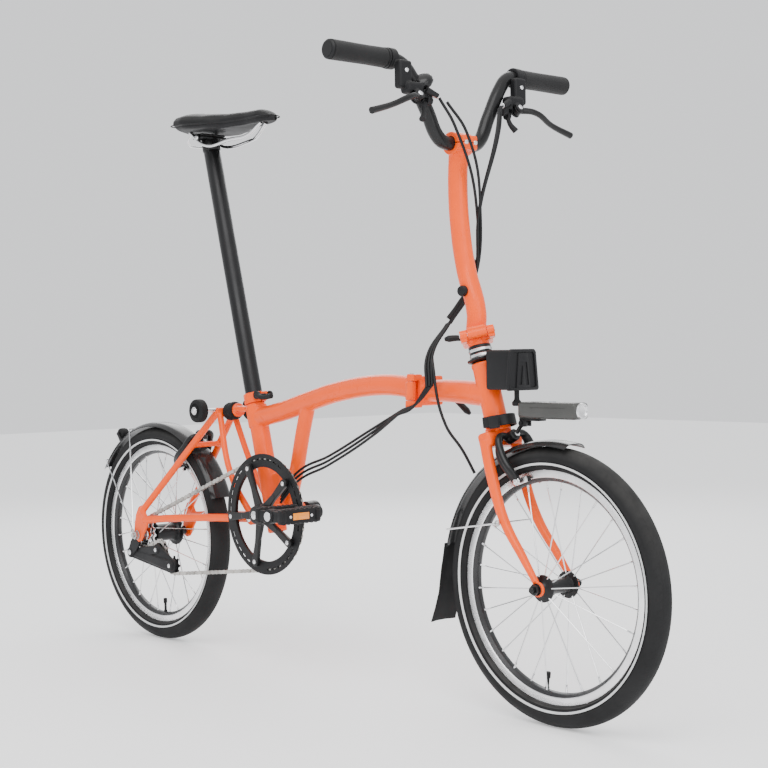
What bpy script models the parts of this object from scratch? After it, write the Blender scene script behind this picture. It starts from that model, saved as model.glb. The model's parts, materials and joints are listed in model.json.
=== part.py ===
"""Folding bicycle with small wheels: a hinged main frame, a rear frame that swings under,
a folding stem, a sliding seat pillar and a folding left pedal.

Frame: +X forward, +Y the rider's left, +Z up. Origin on the ground, halfway between the axles.
Units are metres. Heights above the wheels are measured from the top of the tyres, and lengths
from the nearer axle, so the wheels and the wheelbase can change by themselves.
"""
import math

import bmesh
import bpy
from mathutils import Matrix, Vector

for old in list(bpy.data.objects):
    bpy.data.objects.remove(old, do_unlink=True)

# ---------------------------------------------------------------- driving dimensions
WHEELBASE = 1.045
TYRE_R = 0.212
TYRE_W = 0.040
RIM_R = 0.1772
RIM_DEPTH = 0.018
RIM_W = 0.021
SPOKES = 28
SPOKE_R = 0.001

MAIN_R = 0.018
SEAT_TUBE_WALL = 0.0016
PILLAR_R = 0.0159
PILLAR_LENGTH = 0.580
SEAT_LEAN = math.radians(14.7)
PILLAR_INSERT = 0.094
SADDLE_LENGTH = 0.260
NOSE_REACH = 0.20333
HEAD_LEAN = math.radians(16.5)
HEAD_R = 0.0185
HEAD_HALF = 0.052
STEERER_R = 0.0127
STEM_R = 0.016

BAR_R = 0.0114
BAR_HALF = 0.2675
GRIP_R = 0.0155
GRIP_LENGTH = 0.118

BB_X = 0.396
BB_RISE = 0.068
BB_HALF = 0.034
BB_R = 0.0195
BB_BORE = 0.0153
SPINDLE_R = 0.0085
PEDAL_PIN_R = 0.0055
PEDAL_OUT = 0.086
PEDAL_FORE = 0.030
CRANK = 0.170
CRANK_RAISE = math.radians(6)
RING_PITCH_R = 0.101
GUARD_R = 0.109
CHAIN_Y = -0.045
CHAIN_HALF_H = 0.0035
CHAIN_HALF_W = 0.0033
SPROCKET_PITCH_R = 0.0265
JOCKEY_PITCH_R = 0.0165

FRONT_OLD = 0.074
REAR_OLD = 0.112
AXLE_R = 0.0045
NECK_R = 0.0085
NUT_R = 0.0088
NUT_T = 0.008
DROPOUT_T = 0.005
GUARD_GAP = 0.0085
MUDGUARD_W = 0.046
MUDGUARD_T = 0.0016

FOLD_BACK = 0.2805
FOLD_PIN_Y = -0.031
FOLD_TILT = math.radians(5)
STEM_PIN_OFFSET = 0.027
HINGE_HALF = 0.0275
BARREL_R = 0.008
BARREL_MID = 0.0155
FLANGE_REACH = 0.056
FLANGE_T = 0.011
STEM_REACH = 0.046
LIGHT_PIN_R = 0.002
KNUCKLE_PIN_R = 0.004
BLOCK_LENGTH = 0.026
LUG_R = 0.0115
LUG_HALF = 0.020
HINGE_PIN_R = 0.006
STAY_R = 0.0075
YOKE_OUT = 0.036
JOCKEY_PIN_R = 0.003
BLADE_R = 0.0085

GAP = 0.0003
RUN = 0.0004
SLACK = 0.0012
SIDES = 12
WHEEL_SIDES = 40

# ---------------------------------------------------------------- places that follow from them
SADDLE_LIFT = PILLAR_LENGTH - PILLAR_INSERT
X_AXIS = Vector((1, 0, 0))
Y_AXIS = Vector((0, 1, 0))
Z_AXIS = Vector((0, 0, 1))
TOP = 2 * TYRE_R
FRONT_AXLE = Vector((WHEELBASE / 2, 0, TYRE_R))
REAR_AXLE = Vector((-WHEELBASE / 2, 0, TYRE_R))


def rear(x, y, above_top):
    """A point given from the rear axle, and from the top of the tyres."""
    return Vector((x - WHEELBASE / 2, y, TOP + above_top))


def front(x, y, above_top):
    """The same from the front axle, where x is negative behind it."""
    return Vector((x + WHEELBASE / 2, y, TOP + above_top))


def low(x, y, above_axle):
    """A point by the rear axle's own height."""
    return REAR_AXLE + Vector((x, y, above_axle))


BB = low(BB_X, 0, BB_RISE)
SEAT_UP = Vector((-math.sin(SEAT_LEAN), 0, math.cos(SEAT_LEAN)))
SEAT_TOP = rear(0.305, 0, 0.072)
PILLAR_BORE = PILLAR_R + GAP
SEAT_TUBE_R = PILLAR_BORE + SEAT_TUBE_WALL
REAR_HINGE = low(0.335, 0, 0.054)
HEAD_UP = Vector((-math.sin(HEAD_LEAN), 0, math.cos(HEAD_LEAN)))
HEAD_FRONT = Vector((math.cos(HEAD_LEAN), 0, math.sin(HEAD_LEAN)))
HEAD = front(-0.1315, 0, 0.0765)
FOLD_PIN = front(-FOLD_BACK, FOLD_PIN_Y, 0.0815)
FOLD_AXIS = Vector((0, math.sin(FOLD_TILT), math.cos(FOLD_TILT)))
STEM_SPLIT = HEAD + HEAD_UP * 0.0965
STEM_AXIS = (HEAD_FRONT + Y_AXIS).normalized()
STEM_OUT = (HEAD_FRONT - Y_AXIS).normalized()
STEM_PIN = STEM_SPLIT + STEM_OUT * STEM_PIN_OFFSET
BAR_CENTRE = front(-0.195, 0, 0.477)
SADDLE_HEAD = SEAT_TOP + SEAT_UP * SADDLE_LIFT
CRANK_DIR = Vector((math.cos(CRANK_RAISE), 0, math.sin(CRANK_RAISE)))
GUIDE = low(0.058, 0, -0.025)
IDLER = low(0.104, 0, -0.052)
ARM_PIVOT = low(-0.028, 0, -0.037)
MUDGUARD_R = TYRE_R + GUARD_GAP
PAD_GAP = 0.0013
PAD_TRACK = 0.0107
PAD_H = 0.008
CABLE_R = 0.0025
PIVOT_RISE = 0.0185
REAR_BRAKE = 50
FRONT_BRAKE = 116.8
BRAKE_SET = 0.024
BAR_TOP = 0.1215
PLATE_X = front(-0.060, 0, 0).x
STOP_AT = SEAT_TOP - SEAT_UP * 0.034 + Vector((-0.058, 0, 0))
STOP_DIR = (SEAT_TOP - REAR_HINGE).cross(Y_AXIS).normalized() * -1
BLOCK_FRONT = STOP_AT - STOP_DIR * (0.003 + GAP)
BLOCK_BACK = BLOCK_FRONT - STOP_DIR * BLOCK_LENGTH
TOP_PLATE = BLOCK_BACK - STOP_DIR * (GAP + 0.0035)


def steer(along, out=0.0, side=0.0):
    """A point by the steering axis: along it, in front of it, and to the rider's left."""
    return HEAD + HEAD_UP * along + HEAD_FRONT * out + Y_AXIS * side


# ---------------------------------------------------------------- materials
def finish(name, colour, roughness, metallic=0.0):
    material = bpy.data.materials.new(name)
    material.use_nodes = True
    shader = material.node_tree.nodes["Principled BSDF"]
    shader.inputs["Base Color"].default_value = (*colour, 1)
    shader.inputs["Roughness"].default_value = roughness
    shader.inputs["Metallic"].default_value = metallic
    material.diffuse_color = (*colour, 1)
    return material


ORANGE = ("orange_paint", (1.0, 0.17, 0.02), 0.25)
BLACK = ("black_paint", (0.02, 0.02, 0.022), 0.4)
PLASTIC = ("black_plastic", (0.03, 0.03, 0.032), 0.5)
RUBBER = ("rubber", (0.02, 0.02, 0.02), 0.8)
SILVER = ("silver", (0.75, 0.75, 0.76), 0.3, 1.0)
STEEL = ("steel", (0.55, 0.55, 0.56), 0.35, 1.0)
GREY = ("grey_plastic", (0.1, 0.1, 0.11), 0.45)

# ---------------------------------------------------------------- bodies: an empty on each joint
bodies = {}


def body(name, at, parent=None):
    empty = bpy.data.objects.new(name + "_joint", None)
    bpy.context.collection.objects.link(empty)
    base = bodies[parent][1] if parent else Vector((0, 0, 0))
    empty.parent = bodies[parent][0] if parent else None
    empty.location = at - base
    bodies[name] = (empty, at)


def solid(name, owner, mesh_data, look):
    """An object whose origin is its body's joint, while mesh_data is in the bicycle's frame."""
    empty, at = bodies[owner]
    bmesh.ops.translate(mesh_data, verts=mesh_data.verts, vec=-at)
    bmesh.ops.recalc_face_normals(mesh_data, faces=mesh_data.faces)
    mesh = bpy.data.meshes.new(name)
    mesh_data.to_mesh(mesh)
    mesh_data.free()
    mesh.shade_smooth()
    mesh.set_sharp_from_angle(angle=math.radians(35))
    mesh.materials.append(finish(name, *look[1:]))
    obj = bpy.data.objects.new(name, mesh)
    bpy.context.collection.objects.link(obj)
    obj.parent = empty
    return obj


def piece(name, owner, base, look, add=(), cut=()):
    """A named part: base with every shape in add joined to it, and every one in cut removed."""
    obj = solid(name, owner, base, look)
    for operation, shapes in (("UNION", add), ("DIFFERENCE", cut)):
        for number, shape in enumerate(shapes):
            helper = solid(f"{name}_{operation.lower()}_{number}", owner, shape, look)
            helper.hide_render = True
            helper.display_type = "WIRE"
            modifier = obj.modifiers.new(helper.name, "BOOLEAN")
            modifier.operation = operation
            modifier.object = helper
    return obj


# ---------------------------------------------------------------- shapes
def ring_faces(bm, rings, closed):
    """Joins each ring of vertices to the next, and closes or caps the ends."""
    pairs = list(zip(rings, rings[1:]))
    if closed:
        pairs.append((rings[-1], rings[0]))
    for first, second in pairs:
        count = len(first)
        for i in range(count):
            j = (i + 1) % count
            bm.faces.new((first[i], first[j], second[j], second[i]))
    if not closed:
        bm.faces.new(rings[0])
        bm.faces.new(rings[-1][::-1])
    return bm


def sweep(points, radius, sides=SIDES, closed=False, section=None, up=None):
    """A bar along points. radius is one value or one for each point; section gives the outline
    as (across, upward) pairs instead of a circle, with up as the upward direction."""
    points = [Vector(p) for p in points]
    radii = radius if isinstance(radius, (list, tuple)) else [radius] * len(points)
    count = len(points)
    outline = section or [
        (math.cos(2 * math.pi * i / sides), math.sin(2 * math.pi * i / sides)) for i in range(sides)
    ]
    bm = bmesh.new()
    rings = []
    side = None
    for i, point in enumerate(points):
        before = points[i - 1] if i or closed else point
        after = points[(i + 1) % count] if i < count - 1 or closed else point
        tangent = (after - before).normalized()
        if up is not None:
            side = tangent.cross(up).normalized()
        elif side is None:
            guess = Z_AXIS if abs(tangent.z) < 0.9 else X_AXIS
            side = tangent.cross(guess).normalized()
        else:
            side = (side - tangent * side.dot(tangent)).normalized()
        lift = side.cross(tangent)
        turn = 1.0
        if 0 < i < count - 1 or closed:
            bend = (point - before).normalized().dot((after - point).normalized())
            turn = 1 / math.sqrt(max(0.5, (1 + bend) / 2))
        ring = [
            bm.verts.new(point + (side * a + lift * b) * radii[i] * (turn if section is None else 1))
            for a, b in outline
        ]
        rings.append(ring)
    return ring_faces(bm, rings, closed)


def curve(points, steps=4):
    """A smooth line through points (Catmull-Rom)."""
    points = [Vector(p) for p in points]
    ends = [2 * points[0] - points[1]] + points + [2 * points[-1] - points[-2]]
    line = []
    for a, b, c, d in zip(ends, ends[1:], ends[2:], ends[3:]):
        for k in range(steps):
            t = k / steps
            line.append(
                0.5 * (2 * b + (c - a) * t + (2 * a - 5 * b + 4 * c - d) * t**2
                       + (3 * b - a - 3 * c + d) * t**3)
            )
    return line + [points[-1]]


def rod(start, end, radius, sides=SIDES):
    return sweep([start, end], radius, sides)


def turned(profile, centre, axis, sides=24, closed=False):
    """A profile of (radius, along) pairs spun round an axis; closed leaves a hole in the middle."""
    axis = Vector(axis).normalized()
    across = axis.orthogonal().normalized()
    other = axis.cross(across)
    bm = bmesh.new()
    rings = []
    for i in range(sides):
        angle = 2 * math.pi * i / sides
        out = across * math.cos(angle) + other * math.sin(angle)
        rings.append([bm.verts.new(Vector(centre) + out * r + axis * h) for r, h in profile])
    count = len(profile)
    for i in range(sides):
        first, second = rings[i], rings[(i + 1) % sides]
        for k in range(count if closed else count - 1):
            m = (k + 1) % count
            bm.faces.new((first[k], first[m], second[m], second[k]))
    if not closed:
        for k in (0, count - 1):
            bm.faces.new([ring[k] for ring in rings])
    return bm


def disc(centre, axis, radius, low_h, high_h, sides=24, bore=0.0):
    """A disc or, with a bore, a washer."""
    if bore:
        profile = [(bore, low_h), (radius, low_h), (radius, high_h), (bore, high_h)]
        return turned(profile, centre, axis, sides, closed=True)
    return turned([(radius, low_h), (radius, high_h)], centre, axis, sides)


def block(centre, size, across=X_AXIS, upward=Z_AXIS):
    """A box: size is across, sideways and upward."""
    across = Vector(across).normalized()
    upward = Vector(upward).normalized()
    turn = Matrix((across, upward.cross(across), upward)).transposed().to_4x4()
    bm = bmesh.new()
    bmesh.ops.create_cube(bm, size=1)
    bmesh.ops.scale(bm, vec=size, verts=bm.verts)
    bmesh.ops.transform(bm, matrix=Matrix.Translation(centre) @ turn, verts=bm.verts)
    return bm


def soft_block(centre, size, radius, across=X_AXIS, upward=Z_AXIS, segments=1):
    bm = block(centre, size, across, upward)
    bmesh.ops.bevel(bm, geom=bm.edges[:], offset=radius, segments=segments, affect="EDGES")
    return bm


def plate(outline, y_low, y_high):
    """An outline in the XZ plane, made thick along Y."""
    bm = bmesh.new()
    near = [bm.verts.new((x, y_low, z)) for x, z in outline]
    far = [bm.verts.new((x, y_high, z)) for x, z in outline]
    return ring_faces(bm, [near, far], closed=False)


def polar(centre, angle, radius, y=0.0):
    """A point round an axle: angle in degrees, 0 forward and 90 up."""
    a = math.radians(angle)
    return centre + Vector((math.cos(a) * radius, y, math.sin(a) * radius))


def hinge_half(pin, axis, inward, normal, reach, middle):
    """One half of a clamped hinge: a flange that meets the other half's, and knuckles on the pin.
    middle gives the half with one long knuckle; the other half has two short ones and the pin."""
    upright = normal.cross(inward)
    plate_mid = pin + inward * (BARREL_R + reach / 2 + 0.002) + normal * (GAP + FLANGE_T / 2)
    plate_size = (FLANGE_T, reach - 0.004, 2 * HINGE_HALF - 0.006)
    shapes = [soft_block(plate_mid, plate_size, 0.002, normal, upright)]
    arm_mid = pin + inward * 0.006 + normal * (GAP + FLANGE_T / 2)
    if middle:
        shapes += [block(arm_mid, (FLANGE_T - 0.002, 0.018, 2 * BARREL_MID - 0.004), normal, upright),
                   rod(pin - axis * BARREL_MID, pin + axis * BARREL_MID, BARREL_R, 12)]
        return shapes
    ear = HINGE_HALF - BARREL_MID
    for side in (-1, 1):
        shapes += [block(arm_mid + upright * side * (BARREL_MID + ear / 2 + 0.0004),
                         (FLANGE_T - 0.002, 0.018, ear - 0.0025), normal, upright),
                   rod(pin + axis * side * (BARREL_MID + GAP), pin + axis * side * HINGE_HALF, BARREL_R, 12)]
    half_pin = axis * (HINGE_HALF - 0.001)
    return shapes + [rod(pin - half_pin, pin + half_pin, KNUCKLE_PIN_R, 10)]


def knuckle_bore(pin, axis):
    return rod(pin - axis * (BARREL_MID + 0.004), pin + axis * (BARREL_MID + 0.004), KNUCKLE_PIN_R + RUN, 10)


# ---------------------------------------------------------------- wheels
def tyre(name, owner, axle):
    """An open-backed tyre would need no inside here: the tube and air are a solid ring."""
    inner = RIM_R + GAP
    depth = TYRE_R - inner
    half = TYRE_W / 2
    middle = inner + depth * 0.52
    profile = [(inner, -0.3 * TYRE_W), (inner, 0.3 * TYRE_W)]
    for i in range(7):
        a = math.radians(-20 + 220 / 6 * i)
        profile.append((middle + (TYRE_R - middle) * math.sin(a), half * math.cos(a)))
    return piece(name, owner, turned(profile, axle, Y_AXIS, WHEEL_SIDES, closed=True), RUBBER)


def rim(name, owner, axle):
    half = RIM_W / 2
    inner = RIM_R - RIM_DEPTH
    profile = [(RIM_R, -half), (RIM_R, half), (inner + 0.004, half), (inner, half * 0.45),
               (inner, -half * 0.45), (inner + 0.004, -half)]
    return piece(name, owner, turned(profile, axle, Y_AXIS, WHEEL_SIDES, closed=True), SILVER)


def spoke_lines(axle, flange_r, flanges, lean):
    """Start and end of each spoke; lean in degrees swings its hub end round the flange."""
    end_r = (RIM_R - RIM_DEPTH) * math.cos(math.pi / WHEEL_SIDES) - 2 * GAP
    for i in range(SPOKES):
        angle = 360 * (i + 0.5) / SPOKES
        side = flanges[i % 2]
        swing = lean * (1 if i % 4 < 2 else -1)
        start = polar(axle, angle + swing, flange_r - 0.002, side)
        yield start, polar(axle, angle, end_r, side * 0.08)


def merged(shapes):
    """Several shapes that stay clear of each other, as one mesh."""
    whole = bmesh.new()
    for shape in shapes:
        scratch = bpy.data.meshes.new("scratch")
        shape.to_mesh(scratch)
        shape.free()
        whole.from_mesh(scratch)
        bpy.data.meshes.remove(scratch)
    return whole


def hub(name, owner, axle, shell_ends, barrel_r, flange_r, flanges, lean):
    """A hollow hub shell with every spoke in its flanges; the axle runs through it."""
    bore = AXLE_R + RUN
    right, left = flanges
    profile = [(bore, shell_ends[0]), (NECK_R, shell_ends[0]), (NECK_R, right - 0.003),
               (flange_r, right - 0.002), (flange_r, right + 0.0012), (barrel_r, right + 0.004),
               (barrel_r, left - 0.004), (flange_r, left - 0.0012), (flange_r, left + 0.002),
               (NECK_R, left + 0.003), (NECK_R, shell_ends[1]), (bore, shell_ends[1])]
    spokes = [sweep(ends, SPOKE_R, 3) for ends in spoke_lines(axle, flange_r, flanges, lean)]
    leaning = [merged(s for i, s in enumerate(spokes) if (i % 4 < 2) == way) for way in (True, False)]
    shell = turned(profile, axle, Y_AXIS, 12, closed=True)
    return piece(name, owner, shell, BLACK, add=leaning)


def axle(name, owner, centre, old, reach):
    """The fixed axle with a nut on each end, outside the dropouts."""
    half = old / 2 + DROPOUT_T + GAP
    nuts = [disc(centre, Y_AXIS, NUT_R, *sorted((side * half, side * (half + NUT_T))), sides=6)
            for side in (-1, 1)]
    return piece(name, owner, disc(centre, Y_AXIS, AXLE_R, -reach, reach, 12), STEEL, add=nuts)


# ---------------------------------------------------------------- the tree of bodies
body("main_frame", Vector((0, 0, 0)))
body("seat", SEAT_TOP, "main_frame")
body("seat_lever", SEAT_TOP + Vector((0.0295, 0.0, -0.003)), "main_frame")
body("fold_lever", FOLD_PIN + Vector((0, 0.072, 0)), "main_frame")
body("crank", BB, "main_frame")
RIGHT_PEDAL = BB + CRANK_DIR * CRANK + Y_AXIS * -0.080
LEFT_PEDAL = BB - CRANK_DIR * CRANK + Y_AXIS * 0.080
body("right_pedal", RIGHT_PEDAL, "crank")
LEFT_FOLD = LEFT_PEDAL + Y_AXIS * 0.014
body("left_pedal_fold", LEFT_FOLD, "crank")
body("left_pedal", LEFT_PEDAL, "left_pedal_fold")
body("rear_frame", REAR_HINGE, "main_frame")
body("rear_wheel", REAR_AXLE, "rear_frame")
body("sprocket", REAR_AXLE, "rear_frame")
body("tensioner", ARM_PIVOT, "rear_frame")
body("guide_wheel", GUIDE, "tensioner")
body("idler_wheel", IDLER, "tensioner")
ROLLER = rear(0.216, 0, 0.039)
BACK_ROLLER = polar(REAR_AXLE, 126, MUDGUARD_R + 0.019)
body("right_roller", ROLLER, "rear_frame")
body("left_roller", ROLLER, "rear_frame")
body("mudguard_roller", BACK_ROLLER, "rear_frame")
body("front_frame", FOLD_PIN, "main_frame")
LATCH = front(-0.075, 0, 0.069)
body("luggage_latch", LATCH, "front_frame")
body("fork", HEAD, "front_frame")
body("front_wheel", FRONT_AXLE, "fork")
LIGHT_PIVOT = front(-0.060, 0, 0.034)
body("headlight", LIGHT_PIVOT, "fork")
body("stem", STEM_PIN, "fork")
STEM_LEVER = STEM_PIN - STEM_OUT * (BARREL_R + STEM_REACH + GAP)
body("stem_lever", STEM_LEVER, "fork")


# ---------------------------------------------------------------- main frame
def main_frame():
    """Main tube, seat tube, bottom-bracket shell and brace strut, welded into one."""
    tube = curve([
        SEAT_TOP - SEAT_UP * 0.047 + X_AXIS * 0.004, rear(0.392, 0, 0.040), rear(0.465, 0, 0.0585),
        rear(0.552, 0, 0.078), front(-0.395, 0, 0.0895), front(-0.335, 0, 0.0885),
        FOLD_PIN * 1.0 - Y_AXIS * FOLD_PIN_Y - X_AXIS * 0.008,
    ], 2)
    seat_end = SEAT_TOP - SEAT_UP * 0.262
    seat_tube = rod(seat_end, SEAT_TOP - SEAT_UP * 0.0205, SEAT_TUBE_R, 18)
    collar = rod(SEAT_TOP - SEAT_UP * 0.064, SEAT_TOP - SEAT_UP * 0.024, SEAT_TUBE_R + 0.0022, 18)
    shell = disc(BB, Y_AXIS, BB_R, -BB_HALF, BB_HALF, 20)
    strut = sweep(curve([rear(0.462, 0, 0.046), rear(0.449, 0, 0.006), low(0.430, 0, 0.150),
                         low(0.404, 0, 0.078)], 2), 0.0135, 10)
    web = soft_block(low(0.378, 0, 0.108), (0.030, 0.010, 0.062), 0.003, SEAT_UP.cross(Y_AXIS) * -1, SEAT_UP)
    lug = disc(REAR_HINGE, Y_AXIS, LUG_R, -LUG_HALF, LUG_HALF, 20)
    lug_web = block(REAR_HINGE + Vector((0.013, 0, 0.002)), (0.020, 0.030, 0.018))
    stop = soft_block(STOP_AT + Vector((0.026, 0, 0.003)), (0.052, 0.028, 0.010), 0.003)
    stop_face = disc(STOP_AT, STOP_DIR, 0.013, -0.003, 0.005, 16)
    hinge = hinge_half(FOLD_PIN, FOLD_AXIS, Y_AXIS, -X_AXIS, FLANGE_REACH, middle=True)
    pillar_bore = rod(seat_end - SEAT_UP * 0.02, SEAT_TOP, PILLAR_BORE, 18)
    bb_bore = disc(BB, Y_AXIS, BB_BORE, -BB_HALF - 0.01, BB_HALF + 0.01, 20)
    lug_bore = disc(REAR_HINGE, Y_AXIS, HINGE_PIN_R + RUN, -0.05, 0.05, 16)
    piece("main_frame", "main_frame", seat_tube, ORANGE,
          add=[collar, sweep(tube, MAIN_R, 14), shell, strut, web, lug, lug_web, stop, stop_face] + hinge,
          cut=[pillar_bore, bb_bore, lug_bore, knuckle_bore(FOLD_PIN, FOLD_AXIS)])


main_frame()

piece("bottom_bracket", "main_frame",
      disc(BB, Y_AXIS, BB_BORE - GAP, -BB_HALF - 0.002, BB_HALF + 0.002, 20, bore=SPINDLE_R + RUN), STEEL)

# The clamp closes on the pillar above the seat tube, and its quick-release lever points forward.
CLAMP_IN = PILLAR_BORE + 0.0002
CLAMP_LOW, CLAMP_HIGH = -0.0200, -0.001
piece("seat_clamp", "main_frame",
      disc(SEAT_TOP, SEAT_UP, CLAMP_IN + 0.0038, CLAMP_LOW, CLAMP_HIGH, 18, bore=CLAMP_IN), ORANGE,
      add=[disc(bodies["seat_lever"][1] - X_AXIS * 0.0035, Y_AXIS, 0.0065, -0.012, 0.012, 12)],
      cut=[disc(bodies["seat_lever"][1], Y_AXIS, 0.0031, -0.03, 0.03, 12)])
lever_at = bodies["seat_lever"][1]
piece("seat_clamp_lever", "seat_lever", rod(lever_at - Y_AXIS * 0.018, lever_at + Y_AXIS * 0.018, 0.0028, 12),
      BLACK,
      add=[disc(lever_at, Y_AXIS, 0.0075, -0.019, -0.0125, 14),
           disc(lever_at, Y_AXIS, 0.0075, 0.0125, 0.017, 14),
           sweep(curve([lever_at - Y_AXIS * 0.016, lever_at + Vector((0.018, -0.018, -0.004)),
                        lever_at + Vector((0.044, -0.016, -0.001))], 3), 0.0042, 8)])

# Main hinge, clamp side: a plate across both flanges, with a wing lever on its bolt.
clamp_y = FOLD_PIN_Y + BARREL_R + FLANGE_REACH + GAP + 0.0077
piece("main_hinge_clamp", "main_frame",
      soft_block(Vector((FOLD_PIN.x, clamp_y - 0.0042, FOLD_PIN.z)), (0.034, 0.007, 0.034), 0.0015), STEEL,
      add=[disc(Vector((FOLD_PIN.x, clamp_y, FOLD_PIN.z)), Y_AXIS, 0.0085, -0.001, 0.0025, 14)])
lever_y = clamp_y + 0.0028
piece("main_hinge_lever", "fold_lever",
      disc(Vector((FOLD_PIN.x, lever_y, FOLD_PIN.z)), Y_AXIS, 0.009, 0.0, 0.010, 14), BLACK,
      add=[sweep([Vector((FOLD_PIN.x, lever_y + 0.006, FOLD_PIN.z)),
                  Vector((FOLD_PIN.x + 0.030, lever_y + 0.007, FOLD_PIN.z - 0.022)),
                  Vector((FOLD_PIN.x + 0.052, lever_y + 0.008, FOLD_PIN.z - 0.038))],
                 [0.0045, 0.0055, 0.0045], 8)])

# ---------------------------------------------------------------- seat
PILLAR_FOOT = SADDLE_HEAD - SEAT_UP * PILLAR_LENGTH
piece("seat_pillar", "seat", turned(
    [(PILLAR_R - 0.0018, 0.004), (PILLAR_R - 0.0018, 0), (PILLAR_R, 0), (PILLAR_R, PILLAR_LENGTH),
     (0.011, PILLAR_LENGTH), (0.011, PILLAR_LENGTH + 0.014), (0.008, PILLAR_LENGTH + 0.014),
     (0.008, 0.004)], PILLAR_FOOT, SEAT_UP, 18, closed=True), BLACK)
RAIL_Z = SADDLE_HEAD.z + 0.004
SADDLE_Z = RAIL_Z + 0.022
CLAMP_AT = SADDLE_HEAD + SEAT_UP * 0.0075
NOSE = SADDLE_HEAD + X_AXIS * NOSE_REACH
TAIL = NOSE - X_AXIS * SADDLE_LENGTH
rail_line = [Vector((NOSE.x - 0.040, 0.006, SADDLE_Z + 0.003)),
             Vector((NOSE.x - 0.075, 0.012, RAIL_Z + 0.004)),
             Vector((NOSE.x - 0.110, 0.022, RAIL_Z)), Vector((TAIL.x + 0.060, 0.022, RAIL_Z)),
             Vector((TAIL.x + 0.030, 0.030, SADDLE_Z + 0.003))]
piece("saddle_clamp", "seat", disc(CLAMP_AT, SEAT_UP, 0.0172, -0.0070, 0.010, 18, bore=0.0113), BLACK,
      add=[block(CLAMP_AT + SEAT_UP * 0.013, (0.034, 0.056, 0.010), SEAT_UP.cross(Y_AXIS) * -1, SEAT_UP)]
      + [sweep(curve([Vector((p.x, side * p.y, p.z)) for p in rail_line], 2), 0.0035, 6) for side in (-1, 1)]
      + [rod(rail_line[0] + Vector((0.002, -0.014, 0)), rail_line[0] + Vector((0.002, 0.002, 0)), 0.0034, 8)])


def saddle():
    """Half-ellipse slices from tail to nose: wide and high behind, narrow in front."""
    length = NOSE.x - TAIL.x
    slices = [(0.00, 0.030, 0.014), (0.03, 0.058, 0.024), (0.12, 0.074, 0.033), (0.24, 0.077, 0.035),
              (0.40, 0.060, 0.031), (0.56, 0.036, 0.028), (0.74, 0.024, 0.026), (0.92, 0.021, 0.024),
              (1.00, 0.011, 0.012)]
    bm = bmesh.new()
    rings = []
    for share, half, height in slices:
        x = TAIL.x + share * length
        base = SADDLE_Z + 0.011 + 0.010 * abs(share - 0.5) ** 1.5
        rings.append([
            bm.verts.new((x, half * math.cos(a), base + (height if math.sin(a) > 0 else 0.006) * math.sin(a)))
            for a in (2 * math.pi * i / 16 for i in range(16))
        ])
    return ring_faces(bm, rings, closed=False)


piece("saddle", "seat", saddle(), BLACK)

# ---------------------------------------------------------------- crankset
ARM_IN = 0.058
RIGHT_TIP = BB + CRANK_DIR * CRANK
LEFT_TIP = BB - CRANK_DIR * CRANK


def crank_arm(side, tip):
    """A tapered arm on its spindle end, outboard of the chain, with the pedal's spindle."""
    y_in = side * ARM_IN
    return sweep([BB + Y_AXIS * (y_in + side * 0.005), BB.lerp(tip, 0.5) + Y_AXIS * (y_in + side * 0.008),
                  tip + Y_AXIS * (y_in + side * 0.010)], [0.0145, 0.0105, 0.0115], 10)


spider_y = CHAIN_Y - 0.0118
spider = [
    sweep([BB + Y_AXIS * spider_y, BB + (CRANK_DIR * math.cos(a) + CRANK_DIR.cross(Y_AXIS) * math.sin(a))
           * (RING_PITCH_R - 0.005) + Y_AXIS * spider_y], [0.009, 0.0045], 8)
    for a in (2 * math.pi * k / 5 + math.radians(36) for k in range(5))
]
piece("right_crank", "crank", crank_arm(-1, RIGHT_TIP), BLACK,
      add=[disc(BB, Y_AXIS, 0.019, spider_y - 0.009, spider_y + 0.004, 18),
           disc(BB, Y_AXIS, SPINDLE_R, spider_y, BB_HALF + 0.012, 16),
           rod(RIGHT_TIP + Y_AXIS * -0.064, RIGHT_PEDAL - Y_AXIS * 0.098, PEDAL_PIN_R, 12)] + spider)
piece("left_crank", "crank", crank_arm(1, LEFT_TIP), BLACK,
      add=[disc(BB, Y_AXIS, 0.016, BB_HALF + 0.0125, ARM_IN + 0.012, 18)])
ring_in = RING_PITCH_R - 0.016
ring_out = RING_PITCH_R - CHAIN_HALF_H - SLACK
ring_face = CHAIN_Y - 0.0040
piece("chainring", "crank",
      disc(BB, Y_AXIS, ring_out, CHAIN_Y - 0.0042, CHAIN_Y + 0.0012, 32, bore=ring_in), BLACK,
      add=[disc(BB, Y_AXIS, GUARD_R, ring_face - 0.0022, ring_face - 0.0001, 32, bore=ring_in + 0.004)])


def pedal(name, owner, centre, side, start):
    """A cage round a bearing tube, which turns on the pedal's pin."""
    out = side * PEDAL_OUT
    middle = centre + Y_AXIS * (side * start + out / 2)
    tube = disc(centre, Y_AXIS, 0.0125, *sorted((side * start, side * start + out)), 14,
                bore=PEDAL_PIN_R + RUN)
    bars = [soft_block(middle + X_AXIS * way * PEDAL_FORE, (0.010, abs(out), 0.024), 0.002)
            for way in (-1, 1)]
    webs = [block(centre + Vector((way * 0.022, side * (start + share * abs(out)), 0)), (0.028, 0.008, 0.016))
            for share in (0.08, 0.92) for way in (-1, 1)]
    return piece(name, owner, tube, PLASTIC, add=bars + webs)


pedal("right_pedal", "right_pedal", RIGHT_PEDAL, -1, 0.008)
fold_pin = rod(LEFT_PEDAL + Y_AXIS * 0.012, LEFT_PEDAL + Y_AXIS * 0.098, PEDAL_PIN_R, 12)
piece("left_pedal_hinge", "left_pedal_fold",
      soft_block(LEFT_FOLD + Y_AXIS * -0.0035, (0.020, 0.010, 0.024), 0.002), STEEL, add=[fold_pin])
pedal("left_pedal", "left_pedal", LEFT_PEDAL, 1, 0.0165)


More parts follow.
